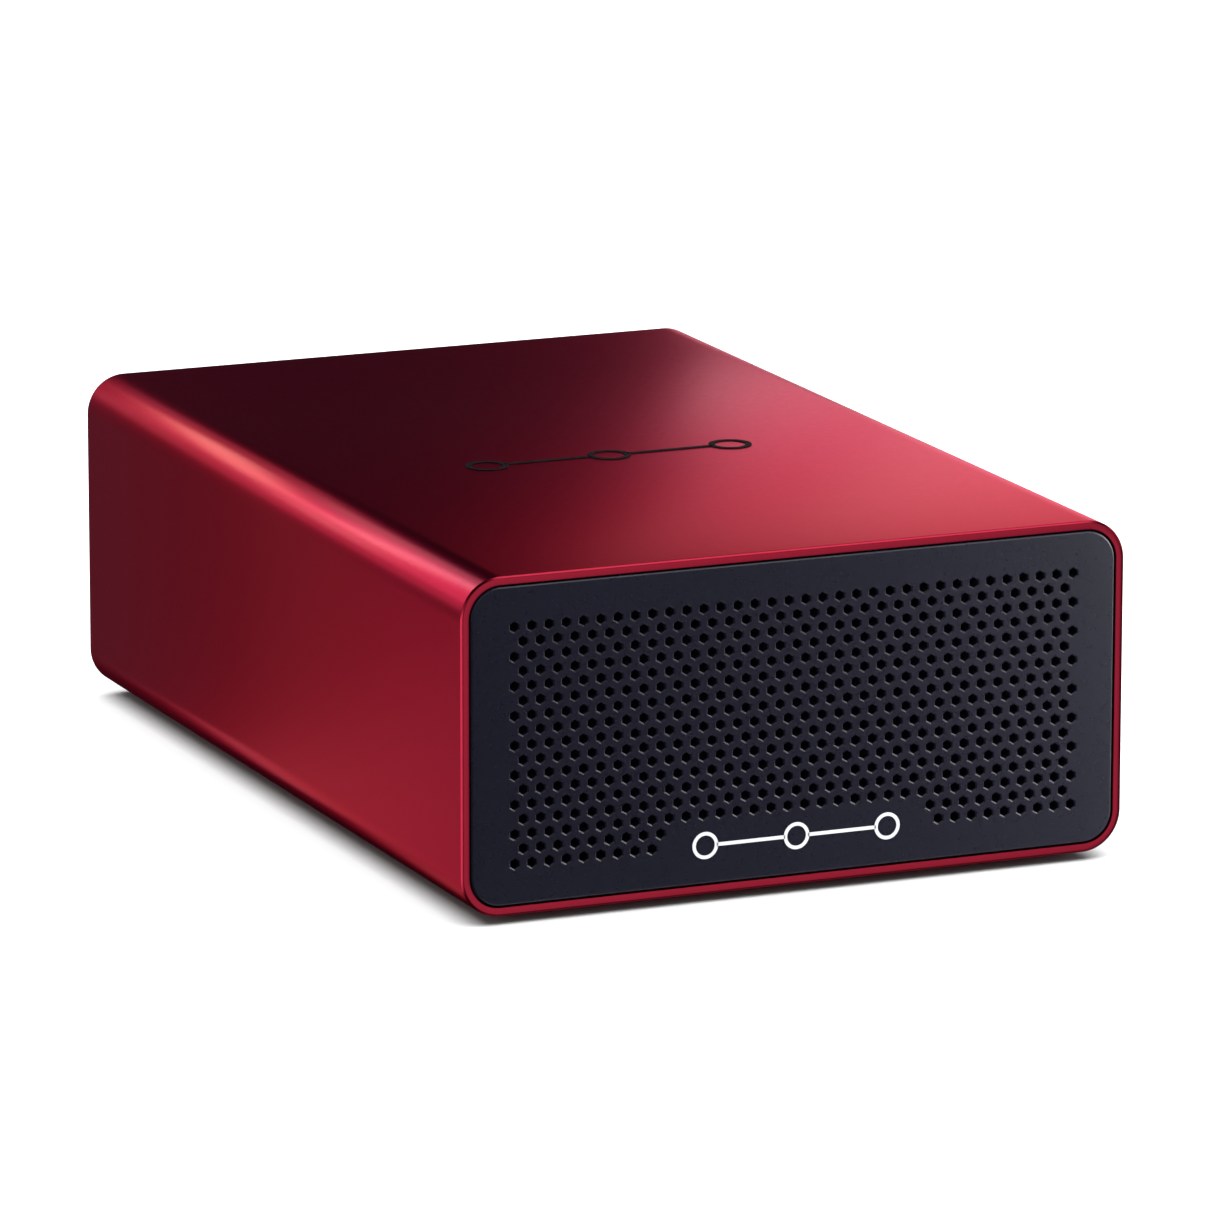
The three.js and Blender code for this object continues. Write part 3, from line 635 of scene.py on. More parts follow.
def vent_centres():
    """Exhaust holes in front of the fan: a triangular grid inside a circle."""
    rise = VENT_PITCH * math.sqrt(3) / 2
    reach = math.ceil(VENT_RADIUS / rise)
    for row in range(-reach, reach + 1):
        for column in range(-reach, reach + 1):
            x, z = (column + (0.5 if row % 2 else 0)) * VENT_PITCH, row * rise
            if math.hypot(x, z) <= VENT_RADIUS - VENT_HOLE:
                yield FAN_X + x, FAN_Z + z


def rear_panel():
    low, high, _ = node_span("rear_panel")
    board_top = node_span("ethernet_jack_1")[0].z
    outline = round_box(0, MID_MM, high.x - low.x, high.z - low.z, INNER_RADIUS / MM - 0.3, 12)
    holes = [round_box(x, board_top + 6.75, 16.6, 14.1, 0.5, 3) for x in JACK_X]
    holes += [round_box(x, board_top + 1.65, 9.6, 3.9, 1.8) for x in USB_X]
    holes += [circle(x, UPPER_ROW, 5.3) for x in CLOCK_X]
    holes += [circle(INLET_X, UPPER_ROW, 4.3), round_box(ROCKER_X, UPPER_ROW, 13, 19.6, 0.6, 3),
              round_box(LOCK_X, MID_MM, 3, 7, 1.4)]
    holes += [circle(x, z, 1.5, 24) for x, z in CORNER_SCREWS + FAN_SCREWS]
    holes += [circle(x, z, VENT_HOLE, 6, math.pi / 6) for x, z in vent_centres()]
    Shape().slab(outline, (low.y, high.y), holes).piece(
        "connector_panel", "dark_panel", "rear_panel", soften=0.16)


def port_number(text, x, z):
    """A plain number printed on the rear panel, read from behind."""
    curve = bpy.data.curves.new(f"number_{text}", "FONT")
    curve.body = text
    curve.size = 2.6
    curve.extrude = 0.03
    curve.align_x = "CENTER"
    label = bpy.data.objects.new("label", curve)
    shape = Shape(label.to_mesh())
    bpy.data.objects.remove(label)
    return shape.turn(Matrix.Translation((x, REAR_MM + 0.02, z)) @ Matrix.Rotation(math.pi, 4, "Z")
                      @ Matrix.Rotation(math.pi / 2, 4, "X"))


def port_numbers():
    top = node_span("ethernet_jack_1")[1].z
    rows = ((JACK_X, top + 1.2), (USB_X, top - 7.4), (CLOCK_X, UPPER_ROW + 8.2))
    for group, (places, z) in enumerate(rows, 1):
        for i, x in enumerate(sorted(places, reverse=True), 1):
            port_number(str(i), x, z).piece(f"port_number_{group}_{i}", "light_print")


def ethernet_jacks():
    for i, x in enumerate(JACK_X, 1):
        low, high, middle = node_span(f"ethernet_jack_{i}")
        back, face, base, z = low.y, high.y, low.z, middle.z
        shield = Shape().plate((x, z, 16, 13.5, 0.5, 3), (back + 0.4, face),
                               (x, z, 15.1, 12.6, 0.3, 3))
        shield.plate((x, z, 16, 13.5, 0.5, 3), (back, back + 0.4))
        for side in (-1, 1):
            for height in (base + 3.6, base + 8.8):
                spring = [(x + side * out, face - deep, height)
                          for out, deep in ((7.7, 7), (7.35, 4), (7.55, 0.7))]
                shield.tube(smooth_path(spring, 4), 0.5, 8)
        shield.piece(f"ethernet_shield_{i}", "nickel", f"ethernet_jack_{i}", soften=0.08)
        # The socket's opening is the plug's body with the latch notch below it.
        half = [(3, 1.8), (3, 4.2), (5.9, 4.2), (5.9, 11.4)]
        opening = [(x - 3, base + 1.8)] + [(x + u, base + v) for u, v in half]
        opening += [(x - u, base + v) for u, v in half[:0:-1]]
        insert = Shape().slab(round_box(x, z, 14.9, 12.4, 0.3, 3), (face - 13, face - 0.35),
                              [opening])
        insert.plate((x, z, 14.9, 12.4, 0.3, 3), (face - 20, face - 13))
        insert.piece(f"ethernet_insert_{i}", "black_plastic", soften=0.12)
        contacts, lights = Shape(), Shape()
        for k in range(8):
            wire = [(x + (k - 3.5) * 1.02, face - deep, base + up) for deep, up in
                    ((12.9, 10.2), (9, 9.4), (4.5, 8.3), (3.6, 8.8), (4.2, 10.6))]
            contacts.tube(smooth_path(wire, 5), 0.2, 8)
        contacts.piece(f"ethernet_contacts_{i}", "brass", material="gold_plate")
        for side in (-1, 1):
            lights.plate((x + side * 5.5, base + 2.35, 2.6, 1.7, 0.3, 3), (face - 1.2, face - 0.15))
        lights.piece(f"ethernet_lights_{i}", "light_print", soften=0.1, material="light_pipe")


def usb_ports():
    for i, x in enumerate(USB_X, 1):
        _, (_, face, _), (_, _, z) = node_span(f"usb_c_port_{i}")
        shell = Shape().plate((x, z, 9, 3.3, 1.5, 8), (face - 8, face), (x, z, 8.3, 2.6, 1.2, 8))
        shell.plate((x, z, 8.5, 2.8, 1.3, 8), (face - 7.9, face - 6.6))
        shell.piece(f"usb_shell_{i}", "nickel", f"usb_c_port_{i}", soften=0.1)
        tongue = Shape().plate((x, z, 6.6, 0.7, 0.3, 4), (face - 6.7, face - 0.9))
        tongue.plate((x, z, 7.4, 1.5, 0.3, 4), (face - 6.7, face - 5.4))
        tongue.piece(f"usb_tongue_{i}", "black_plastic", soften=0.08)
        pads = Shape()
        for k in range(12):
            for side in (-1, 1):
                pads.box(around(x + (k - 5.5) * 0.5, 0.13),
                         (face - 5.2, face - 1.4 - 0.5 * (k % 2)),
                         sorted((z + side * 0.34, z + side * 0.39)))
        pads.piece(f"usb_contacts_{i}", "brass", material="gold_plate")


def clock_connectors():
    lug = [(0, -0.9), (0.95, -0.9), (0.95, 0.75), (0.75, 0.95), (0, 0.95)]
    nut = [(5.3, 0.05), (6.1, 0.05), (7.2, 0.45, 6), (7.2, 2.0, 6), (6.1, 2.4), (5.3, 2.4)]
    for i, x in enumerate(CLOCK_X, 1):
        tip = node_span(f"clock_connector_{i}")[1].y - REAR_MM
        centre = (x, REAR_MM, UPPER_ROW)
        profile = [(0, -15), (5.4, -15), (5.4, -4), (6.6, -4), (6.6, -1.6), (5.0, -1.6)]
        along = -1.4
        while along < 2.9:
            profile += [(4.82, along), (5.0, along + 0.3)]
            along += 0.6
        profile += [(4.6, 3.3), (4.6, 4.2), (4.8, 4.5), (4.8, tip - 0.5), (4.55, tip), (4.1, tip),
                    (3.9, tip - 0.3), (3.9, 3), (0, 3)]
        barrel = Shape().lathe(profile, centre, count=64)
        for side in (-1, 1):
            barrel.lathe(lug, (x + side * 4.75, REAR_MM + 7.6, UPPER_ROW), "x", side, 24)
        barrel.piece(f"clock_barrel_{i}", "nickel", f"clock_connector_{i}", soften=0.06)
        core = [(0, 2.9), (3.3, 2.9), (3.3, 4.2), (2.1, 4.4), (2.1, tip - 3), (1.5, tip - 2.8),
                (1.05, tip - 2.8), (1.05, tip - 4.5), (0, tip - 4.5)]
        Shape().lathe(core, centre).piece(f"clock_insulator_{i}", "light_print", soften=0.06,
                                          material="white_insulator")
        socket = [(0, 4), (1.0, 4), (1.0, tip - 3.1), (0.85, tip - 2.9), (0.55, tip - 2.9),
                  (0.5, tip - 3.1), (0.5, tip - 6), (0, tip - 6)]
        Shape().lathe(socket, centre, count=32).piece(f"clock_contact_{i}", "brass", soften=0.03,
                                                      material="gold_plate")
        Shape().lathe(nut, centre, closed=True).piece(
            f"clock_hex_nut_{i}", "nickel", f"clock_nut_{i}", soften=0.1, sharp=25)


def power_inlet():
    centre = (INLET_X, REAR_MM, UPPER_ROW)
    body = [(0, -16), (4.0, -16), (4.0, 0.05), (5.6, 0.05), (5.6, 1.2), (5.35, 1.5), (5.1, 1.6),
            (3.1, 1.6), (2.8, 1.3), (2.8, -9), (0, -9)]
    Shape().lathe(body, centre, count=64).piece("power_inlet_body", "black_plastic", "power_inlet",
                                                soften=0.08)
    pin = [(0, -9.2), (1.0, -9.2), (1.0, -0.1), (0.8, 0.35), (0.4, 0.5), (0, 0.5)]
    Shape().lathe(pin, centre, count=32).piece("power_inlet_pin", "nickel")
    spring = [(2.79, -8.5), (2.79, -2.2), (2.6, -2.0), (2.6, -8.5)]
    Shape().lathe(spring, centre, closed=True).piece("power_inlet_sleeve", "nickel")


CAP_HALF = 7.2
CAP_STEPS = 20
CAP_TILT = math.radians(8)
SIGN_PLACE = 4.3


def power_switch():
    low, high, middle = node_span("switch_housing")
    z = middle.z
    pocket = (ROCKER_X, z, 10.4, 16.4, 0.4, 3)
    housing = Shape().plate((ROCKER_X, z, 12.4, 19, 0.5, 3), (low.y, REAR_MM - 8))
    housing.plate((ROCKER_X, z, 12.4, 19, 0.5, 3), (REAR_MM - 8, REAR_MM + 0.5), pocket)
    housing.plate((ROCKER_X, z, 15, 21.2, 1.2), (REAR_MM + 0.05, high.y), pocket)
    housing.piece("switch_bezel", "black_plastic", "switch_housing", soften=0.3)

    # The cap is drawn level about its pivot and then tipped as the record has it.
    tilt = Matrix.Translation((ROCKER_X, REAR_MM - 0.6, z)) @ Matrix.Rotation(CAP_TILT, 4, "X")
    shares = [2 * t / CAP_STEPS - 1 for t in range(CAP_STEPS + 1)]
    outline = [*((2.4 + share ** 2, CAP_HALF * share) for share in shares),
               (0, CAP_HALF - 0.3), (-5, 2.5), (-5, -2.5), (0, -CAP_HALF + 0.3)]
    cap = Shape().slab(outline, (-4.9, 4.9), axis="x")
    for row in (-0.9, 0, 0.9):
        cap.plate((0, row, 7.4, 0.34, 0.16, 3), (2.3, 2.62))
    cap.turn(tilt).piece("rocker_cap", "black_plastic", "switch_rocker", "rocker", soften=0.25)
    signs = (("on", 1, Shape().plate((0, 0, 0.45, 2.6, 0.1, 3), (-0.05, 0.05))),
             ("off", -1, Shape().pipe(1.3, 0.9, (-0.05, 0.05), (0, 0, 0))))
    for name, side, sign in signs:
        height = 2.42 + (SIGN_PLACE / CAP_HALF) ** 2
        lean = Matrix.Rotation(math.radians(side * -9.4), 4, "X")
        sign.turn(tilt @ Matrix.Translation((0, height, side * SIGN_PLACE)) @ lean)
        sign.piece(f"rocker_sign_{name}", "light_print", (), "rocker")


# ---- fan

BLADE_ROOT = 10.2
BLADE_TIP = 22.1
BLADE_COUNT = 7
BLADE_SECTIONS = 8
BLADE_POINTS = 20


def strut(angle):
    """Outline of one curved arm from the fan's motor to its frame."""
    path = [Vector((FAN_X + r * math.cos(angle + bend), FAN_Z + r * math.sin(angle + bend)))
            for r, bend in ((10.2, 0), (14.5, 0.10), (19, 0.17), (23.6, 0.2))]
    left, right = [], []
    for i, point in enumerate(path):
        ahead = (path[min(i + 1, 3)] - path[max(i - 1, 0)]).normalized()
        across = Vector((-ahead.y, ahead.x)) * 1.2
        left.append(point + across)
        right.append(point - across)
    return right + left[::-1]


def fan_housing():
    low, high, _ = node_span("fan_frame")
    holes = [circle(FAN_X, FAN_Z, 23.3, 96), *(circle(x, z, 1.5, 24) for x, z in FAN_SCREWS)]
    outline = round_box(FAN_X, FAN_Z, 50, 50, 3)
    middle = (FAN_X, 0, FAN_Z)
    inside = (low.y + 2.9, high.y - 2.9)
    motor, lid, back = high.y - 2.4, high.y - 0.35, high.y - 0.2
    housing = Shape().slab(outline, (low.y, low.y + 3), holes)
    housing.slab(outline, (high.y - 3, high.y), holes)
    housing.pipe(24.6, 23.3, inside, middle, count=96)
    for x, z in FAN_SCREWS:
        housing.pipe(3.2, 1.5, inside, (x, 0, z), count=32)
    housing.lathe([(0, motor), (10.6, motor), (10.6, high.y - 0.6), (10.2, back), (8.4, back),
                   (8.4, lid), (0, lid)], middle)
    for k in range(4):
        housing.slab(strut(math.pi / 4 + k * math.pi / 2), (motor, back))
    housing.piece("fan_housing", "black_plastic", "fan_frame", soften=0.2)


def blade_section(share, lead, middle):
    """Points of one blade's section, from its root at share 0 to its tip at share 1."""
    radius = BLADE_ROOT + (BLADE_TIP - BLADE_ROOT) * share
    pitch = math.radians(50 - 20 * share)
    chord = 10.5 + 4.0 * share
    for j in range(BLADE_POINTS):
        turn = 2 * math.pi * j / BLADE_POINTS
        run = math.cos(turn)
        lift = 0.55 * math.sin(turn) * (1.1 - 0.3 * run) + 0.9 * (1 - run * run)
        across = chord / 2 * run * math.cos(pitch) - lift * math.sin(pitch)
        along = chord / 2 * run * math.sin(pitch) + lift * math.cos(pitch)
        angle = lead + 0.28 * share + across / radius
        yield (FAN_X + radius * math.cos(angle), middle + along, FAN_Z + radius * math.sin(angle))


def fan_impeller():
    low, high, middle = node_span("fan_rotor")
    depth = high.y - low.y
    hub = [(0, 0), (8.2, 0), (9.6, 0.25), (10.35, 0.9), (10.6, 1.9), (10.6, depth), (9.6, depth),
           (9.6, 2), (0, 2)]
    rotor = Shape().lathe(hub, (FAN_X, low.y, FAN_Z), count=72)
    for blade in range(BLADE_COUNT):
        lead = 2 * math.pi * blade / BLADE_COUNT
        rings = [rotor.ring(blade_section(k / BLADE_SECTIONS, lead, middle.y))
                 for k in range(BLADE_SECTIONS + 1)]
        skin(rotor.bm, rings)
        rotor.bm.faces.new(rings[0])
        rotor.bm.faces.new(rings[-1][::-1])
    rotor.piece("fan_impeller", "black_plastic", "fan_rotor", "rotor", soften=0.05, sharp=45)


def dust_screen():
    """Near-black woven sheet inside the front carrier's window: painted shade, standing in for the
    dark inside of the case seen through the front holes.
    """
    back = node_span("front_carrier")[1].y
    Shape().plate((0, MID_MM, 121.6, 49.6, 2.8), (back - 1.2, back - 0.8)).piece(
        "dust_screen", "black_plastic", soften=0.05, material="screen_cloth")


# ---- inside the case

def screw_channels():
    """Channels for the corner screws, in the sleeve's inner corners."""
    span = (node_span("front_carrier")[1].y + 0.05, node_span("rear_panel")[0].y - 0.05)
    shape = Shape()
    for i in range(1, 5):
        x, _, z = node_span(f"carrier_screw_{i}")[2]
        shape.pipe(3, 1.5, span, (x, 0, z))
        web = (x + math.copysign(2.1, x), 0, z + math.copysign(2.1, z - MID_MM))
        shape.lathe([(0, span[0]), (1.6, span[0]), (1.6, span[1]), (0, span[1])], web, count=16)
    shape.piece("screw_channels", "red_aluminium")


def grid_array_chips():
    """Lidded chips under the two heat sinks."""
    ball = [(0, 0), (0.25, 0.02), (0.38, 0.14), (0.25, 0.27), (0, 0.28)]
    for node in ("host_controller", "network_processor"):
        low, high, (x, y, _) = node_span(node)
        z, width = low.z, high.x - low.x
        Shape().plate((x, y, width, width, 0.4, 2), (z + 0.25, z + 0.75), axis="z").piece(
            f"{node}_base", "circuit_board", soften=0.05)
        Shape().plate((x, y, width - 3, width - 3, 1.2, 4), (z + 0.72, high.z), axis="z").piece(
            f"{node}_lid", "chip_resin", node, soften=0.15)
        balls = Shape()
        for i in range(12):
            for side in (-1, 1):
                place = (i - 5.5) * width / 13
                for u, v in ((place, side * width * 0.44), (side * width * 0.44, place)):
                    balls.lathe(ball, (x + u, y + v, z), "z", count=10)
        balls.piece(f"{node}_balls", "nickel")


def legged_chip(body, legs, place, size, count, pitch):
    """Moulded chip with bent legs along its two long sides, added to two shapes."""
    (x, y, z), (width, length, height) = place, size
    body.plate((x, y, width, length, 0.25, 2), (z + 0.12, z + height * 0.55), axis="z")
    body.plate((x, y, width - 0.3, length - 0.3, 0.25, 2), (z + height * 0.54, z + height),
               axis="z")
    shoulder = z + height * 0.5
    for i in range(count):
        along = around(y + (i - (count - 1) / 2) * pitch, 0.11)
        for side in (-1, 1):
            near, bend, tip = (x + side * (width / 2 + d) for d in (-0.1, 0.35, 1.0))
            for ends, span in (((near, bend), (shoulder, shoulder + 0.12)),
                               ((bend, bend + side * 0.12), (z, shoulder + 0.12)),
                               ((bend, tip), (z, z + 0.12))):
                legs.box(sorted(ends), along, span)


def memory_chip():
    low, high, (x, y, _) = node_span("memory_chip")
    width, length, height = high - low
    body, legs = Shape(), Shape()
    legged_chip(body, legs, (x, y, low.z), (width - 2, length, height), 22, 0.63)
    dot = [(0, -0.02), (0.5, -0.02), (0.45, 0.02), (0, 0.02)]
    body.lathe(dot, (low.x + 2.2, high.y - 1.4, high.z), "z", count=24)
    body.piece("memory_body", "chip_resin", "memory_chip", soften=0.05)
    legs.piece("memory_legs", "nickel")


def power_filter():
    """Shielded inductors and electrolytic capacitors beside the power lead."""
    can = [(0, 1.2), (3.9, 1.2), (3.9, 2.5), (3.75, 2.75), (3.6, 2.95), (3.6, 3.2), (3.75, 3.4),
           (3.9, 3.65), (3.9, 11.3), (3.8, 11.7), (3.45, 11.95), (3.2, 11.95), (3.1, 11.85),
           (0, 11.85)]
    for i in (1, 2):
        low, _, (x, y, _) = node_span(f"filter_inductor_{i}")
        z = low.z
        ferrite = Shape().plate((x, y, 10, 9.2, 1.6), (z + 0.3, z + 4.3), axis="z")
        ferrite.slab(round_box(x, y, 9.2, 8.4, 1.4), (z + 4.25, z + 5), [circle(x, y, 3.1, 40)],
                     "z")
        ferrite.lathe([(0, 4.2), (2.7, 4.2), (2.7, 4.75), (0, 4.75)], (x, y, z), "z")
        ferrite.piece(f"inductor_core_{i}", "chip_resin", f"filter_inductor_{i}", soften=0.15)
        clips = Shape()
        for side in (-1, 1):
            for inner, top in ((4.55, 2.8), (3, 0.3)):
                clips.box(around(x, 2.4), sorted((y + side * inner, y + side * 5)), (z, z + top))
        clips.piece(f"inductor_clips_{i}", "nickel", soften=0.08)

        low, _, (x, y, _) = node_span(f"filter_capacitor_{i}")
        z = low.z
        Shape().lathe(can, (x, y, z), "z", count=64).piece(
            f"capacitor_can_{i}", "bare_aluminium", f"filter_capacitor_{i}")
        Shape().plate((x, y, 8, 8, 1.5, 1), (z + 0.1, z + 1.3), axis="z").piece(
            f"capacitor_base_{i}", "black_plastic", soften=0.1)
        segment = circle(x, y, 2.9, 48, math.radians(120))[:17]
        Shape().slab(segment, (z + 11.85, z + 11.88), axis="z").piece(
            f"capacitor_mark_{i}", "dark_print")


def card_socket():
    """Stacking connector that carries the network card."""
    low, high, (x, y, _) = node_span("card_connector")
    body, pins = Shape(), Shape()
    outline = round_box(x, y, high.x - low.x, high.y - low.y, 0.6, 3)
    slot = rectangle((low.x + 1, high.x - 1), around(y, 1.6))
    for span in ((low.z, low.z + 9), (low.z + 9.6, high.z)):
        body.slab(outline, span, [slot], "z")
    body.piece("card_socket_body", "black_plastic", "card_connector", soften=0.15)
    for i in range(34):
        for side in (-1, 1):
            pins.box(around(low.x + 2.4 + i * 1.25, 0.2), sorted((y + side, y + side * 1.55)),
                     (low.z, high.z))
    pins.piece("card_socket_pins", "brass", material="gold_plate")


def twisted_pair(node, wires, points, spread, radius, turns):
    """Two insulated wires wound round each other along a path."""
    path = smooth_path(points, 12)
    offsets = []
    for i, (side, up) in enumerate(path_frames(path)):
        phase = 2 * math.pi * turns * i / (len(path) - 1)
        offsets.append(side * math.cos(phase) + up * math.sin(phase))
    for sign, (name, material) in zip((1, -1), wires):
        Shape().tube([p + sign * spread * o for p, o in zip(path, offsets)], radius, 14).piece(
            name, "lead_insulation", node if sign > 0 else (), material=material)


def leads():
    twisted_pair("fan_lead", (("fan_wire_red", None), ("fan_wire_black", "black_plastic")),
                 [(7.4, 87.45, 18), (5, 85.45, 17), (3, 76.45, 18), (5, 68.45, 19), (8, 66.45, 16)],
                 0.62, 0.55, 4)
    twisted_pair("power_lead", (("power_wire_red", None), ("power_wire_black", "black_plastic")),
                 [(-2.5, 82.6, 47), (-2.5, 76, 46), (3.5, 68, 38), (17.5, 60, 28), (26, 56, 17)],
                 0.75, 0.68, 5)
    top = node_span("main_board")[1].z
    for name, x, y, height in (("fan_plug", 8, 66.45, 4.4), ("power_plug", 26, 56, 5.6)):
        plug = Shape().plate((x, y, 7.5, 5.6, 0.4, 2), (top + 0.05, top + height),
                             (x, y, 5.9, 4.0, 0.3, 2), "z")
        plug.plate((x, y, 5.7, 3.8, 0.3, 2), (top + 0.6, top + height + 0.8), axis="z")
        plug.piece(name, "black_plastic", material="white_insulator", soften=0.1)


def board_parts():
    """Small surface-mounted parts scattered over the free places on both boards."""
    scatter = random.Random(7)
    shells = ("outer_sleeve", "front_panel", "rear_panel", "front_carrier", "main_board",
              "network_card")
    sizes = {"chip": (3.9, 4.9, 1.3), "resistor": (1.6, 0.8, 0.45), "capacitor": (2.0, 1.25, 1.0)}
    for board, tries in (("main_board", 420), ("network_card", 260)):
        low, high, _ = node_span(board)
        z = high.z + 0.02
        taken = []
        for node in frame["nodes"]:
            a, b, _ = node_span(node)
            if node not in shells and a.z < z + 2.5 and b.z > z:
                taken.append((a.x - 1.2, b.x + 1.2, a.y - 1.2, b.y + 1.2))
        resin, solder, ceramic = Shape(), Shape(), Shape()
        for _ in range(tries):
            x = round(scatter.uniform(low.x + 4, high.x - 4) * 2) / 2
            y = round(scatter.uniform(low.y + 4, high.y - 4) * 2) / 2
            kind = scatter.choice(("resistor", "resistor", "capacitor", "capacitor", "chip"))
            turned = scatter.random() < 0.5
            room = (3.6, 3.4) if kind == "chip" else (1.6, 1.6)
            box = (*around(x, room[0]), *around(y, room[1]))
            if any(box[0] < t[1] and box[1] > t[0] and box[2] < t[3] and box[3] > t[2]
                   for t in taken):
                continue
            taken.append(box)
            if kind == "chip":
                legged_chip(resin, solder, (x, y, z), sizes[kind], 4, 1.27)
                continue
            length, width, height = sizes[kind]
            half, end = length / 2, length * 0.22
            middle, across = (y, around(x, width / 2)) if turned else (x, around(y, width / 2))
            body = resin if kind == "resistor" else ceramic
            for shape, near, far, bottom, top in ((body, end - half, half - end, 0.03, -0.02),
                                                  (solder, -half, end - half, 0, 0),
                                                  (solder, half - end, half, 0, 0)):
                spans = ((middle + near, middle + far), across)
                shape.box(*(spans[::-1] if turned else spans), (z + bottom, z + height + top))
        resin.piece(f"{board}_resin_parts", "chip_resin")
        solder.piece(f"{board}_solder_ends", "nickel")
        ceramic.piece(f"{board}_ceramic_parts", "brass", material="ceramic")


# ---- carried-over frame nodes

def dress_frame_nodes():
    """Gives every frame node its slot's material, softened edges and clean flat faces."""
    slots = {s["node"]: s["material_slot"] for s in frame["record"]["subparts"]}
    for name, node in frame["nodes"].items():
        node.data.materials.clear()
        node.data.materials.append(MATERIALS[slots[name]])
        flat = node.modifiers.new("flat", "DECIMATE")
        flat.decimate_type = "DISSOLVE"
        flat.angle_limit = math.radians(1)
        bevel(node, 0.12, 40).harden_normals = True


# ---- floor and light

FLOOR_HALF = 4.0
FLOOR_SUN = 36.0
FLOOR_SUN_WIDTH = math.radians(100)
FLOOR_SUN_LEAN = (math.radians(-2), math.radians(2), 0)
WORLD_STRENGTH = 1.3

BACK = ("y", 0.32)
FAR_BACK = ("y", 0.6)
FAR_FRONT = ("y", -0.6)
TENT_FRONT = ("y", -1.2)
REAR_WALL = ("y", 1.2)
LEFT_WALL, RIGHT_WALL = ("x", -0.6), ("x", 0.6)
TENT_LEFT, TENT_RIGHT = ("x", -1.1), ("x", 1.1)
WHITE = (1, 1, 1)

# Soft cards, in groups by what they light; this first group lights everything.
# Each card: name, the wall it hangs on, its span along the wall, its span in height, watts.
SHARED_CARDS = (
    ("right_wall", RIGHT_WALL, (-0.24, 0.25), (0.0, 0.4), 0.1),
    ("top_far", FAR_BACK, (0.285, 0.35), (0.1, 0.22), 0.041),
    ("top_middle", FAR_BACK, (0.298, 0.35), (0.22, 0.5), 0.078),
    ("top_dark", FAR_BACK, (-0.2, 0.285), (0.1, 0.5), 0.015),
    ("top_high", BACK, (0.25, 0.55), (0.35, 0.7), 0.5),
    ("top_near", ("y", 0.45), (0.3, 0.6), (0.0, 0.4), 0.14),
    ("edge_left", BACK, (-0.5, -0.36), (0.2, 0.5), 0.34),
    ("edge_middle", BACK, (-0.36, -0.28), (0.2, 0.45), 0.09),
    ("edge_flank", BACK, (-0.08, -0.02), (0.12, 0.28), 0.02),
    ("side_high", BACK, (-0.6, -0.08), (0.08, 0.22), 0.208),
    ("side_middle", BACK, (-0.6, -0.07), (-0.08, 0.08), 0.04),
    ("side_low", BACK, (-0.6, -0.2), (-0.22, -0.08), 0.122),
    ("side_low_rear", BACK, (-0.2, -0.125), (-0.16, -0.08), 0.022),
    ("side_deep", BACK, (-0.6, -0.2), (-0.4, -0.22), 0.22),
    ("side_far", FAR_BACK, (-0.8, -0.3), (-0.3, 0.2), 0.21),
    ("rim_high", ("z", 0.6), (0.05, 0.45), (-0.45, -0.12), 1.2),
    ("tent_left", TENT_LEFT, (-1.0, 0.1), (-0.2, 0.6), 1.6),
    ("tent_front", TENT_FRONT, (-1.0, 0.2), (0.25, 0.85), 1.8),
    ("tent_front_right", TENT_FRONT, (0.2, 1.2), (0.3, 0.8), 1.2),
    ("tent_right", TENT_RIGHT, (-0.6, 0.8), (0.0, 0.6), 2.2),
    ("tent_left_back", TENT_LEFT, (0.1, 1.0), (0.25, 0.7), 1.0),
)
# On the sleeve alone: white ones for its machined rims.
RIM_CARDS = (
    ("left_floor", LEFT_WALL, (-0.28, 0.08), (-0.4, 0.0), 1.2),
    ("rim_front", FAR_FRONT, (-0.1, 0.4), (-0.35, 0.2), 0.85),
    ("rim_left", LEFT_WALL, (-0.5, -0.3), (-0.25, 0.1), 0.5),
    ("rim_right", RIGHT_WALL, (0.0, 0.25), (-0.3, 0.1), 0.05),
    ("rim_back", ("y", 0.62), (0.24, 0.6), (-0.2, 0.05), 0.3),
    ("rim_floor", ("z", -0.25), (-0.1, 0.3), (-0.15, 0.15), 0.1),
)
# On the sleeve alone: blue-green ones, which turn its brightest edge from crimson to salmon.
TINT = (0.29, 0.92, 0.6)
TINT_CARDS = (
    ("edge_main", BACK, (-0.28, -0.2), (0.22, 0.5), 1.2),
    ("edge_right", BACK, (-0.2, -0.08), (0.25, 0.6), 0.6),
    ("edge_rear", ("y", 0.315), (-0.17, -0.07), (0.14, 0.195), 0.17),
    ("edge_low", ("y", 0.31), (-0.3, -0.19), (0.14, 0.21), 0.14),
)
# On the sleeve alone: paler tints for the bright end of its top, the far part and the near one.
FAR_TINT = (0.9, 1.0, 0.86)
FAR_CARDS = (("top_right_far", FAR_BACK, (0.35, 0.8), (0.1, 0.22), 0.265),)
NEAR_TINT = (0.52, 1.0, 0.84)
NEAR_CARDS = (("top_right_near", FAR_BACK, (0.35, 0.8), (0.22, 0.5), 1.35),)
# On all but the sleeve, for the light that grows towards the front panel's right end.
FRONT_CARDS = (
    ("front_low", ("y", -0.35), (0.24, 0.46), (-0.15, 0.0), 0.45),
    ("front_high", ("y", -0.35), (0.26, 0.46), (0.0, 0.22), 2.3),
    ("front_floor", ("y", -0.25), (-0.06, 0.2), (-0.2, -0.08), 0.2),
)
# On the front panel alone: they catch the lower left facets of its holes.
FACET_CARDS = (
    ("facet_right", RIGHT_WALL, (-0.5, -0.26), (0.0, 0.22), 1.6),
    ("facet_high", FAR_FRONT, (0.1, 0.4), (0.3, 0.6), 1.2),
)
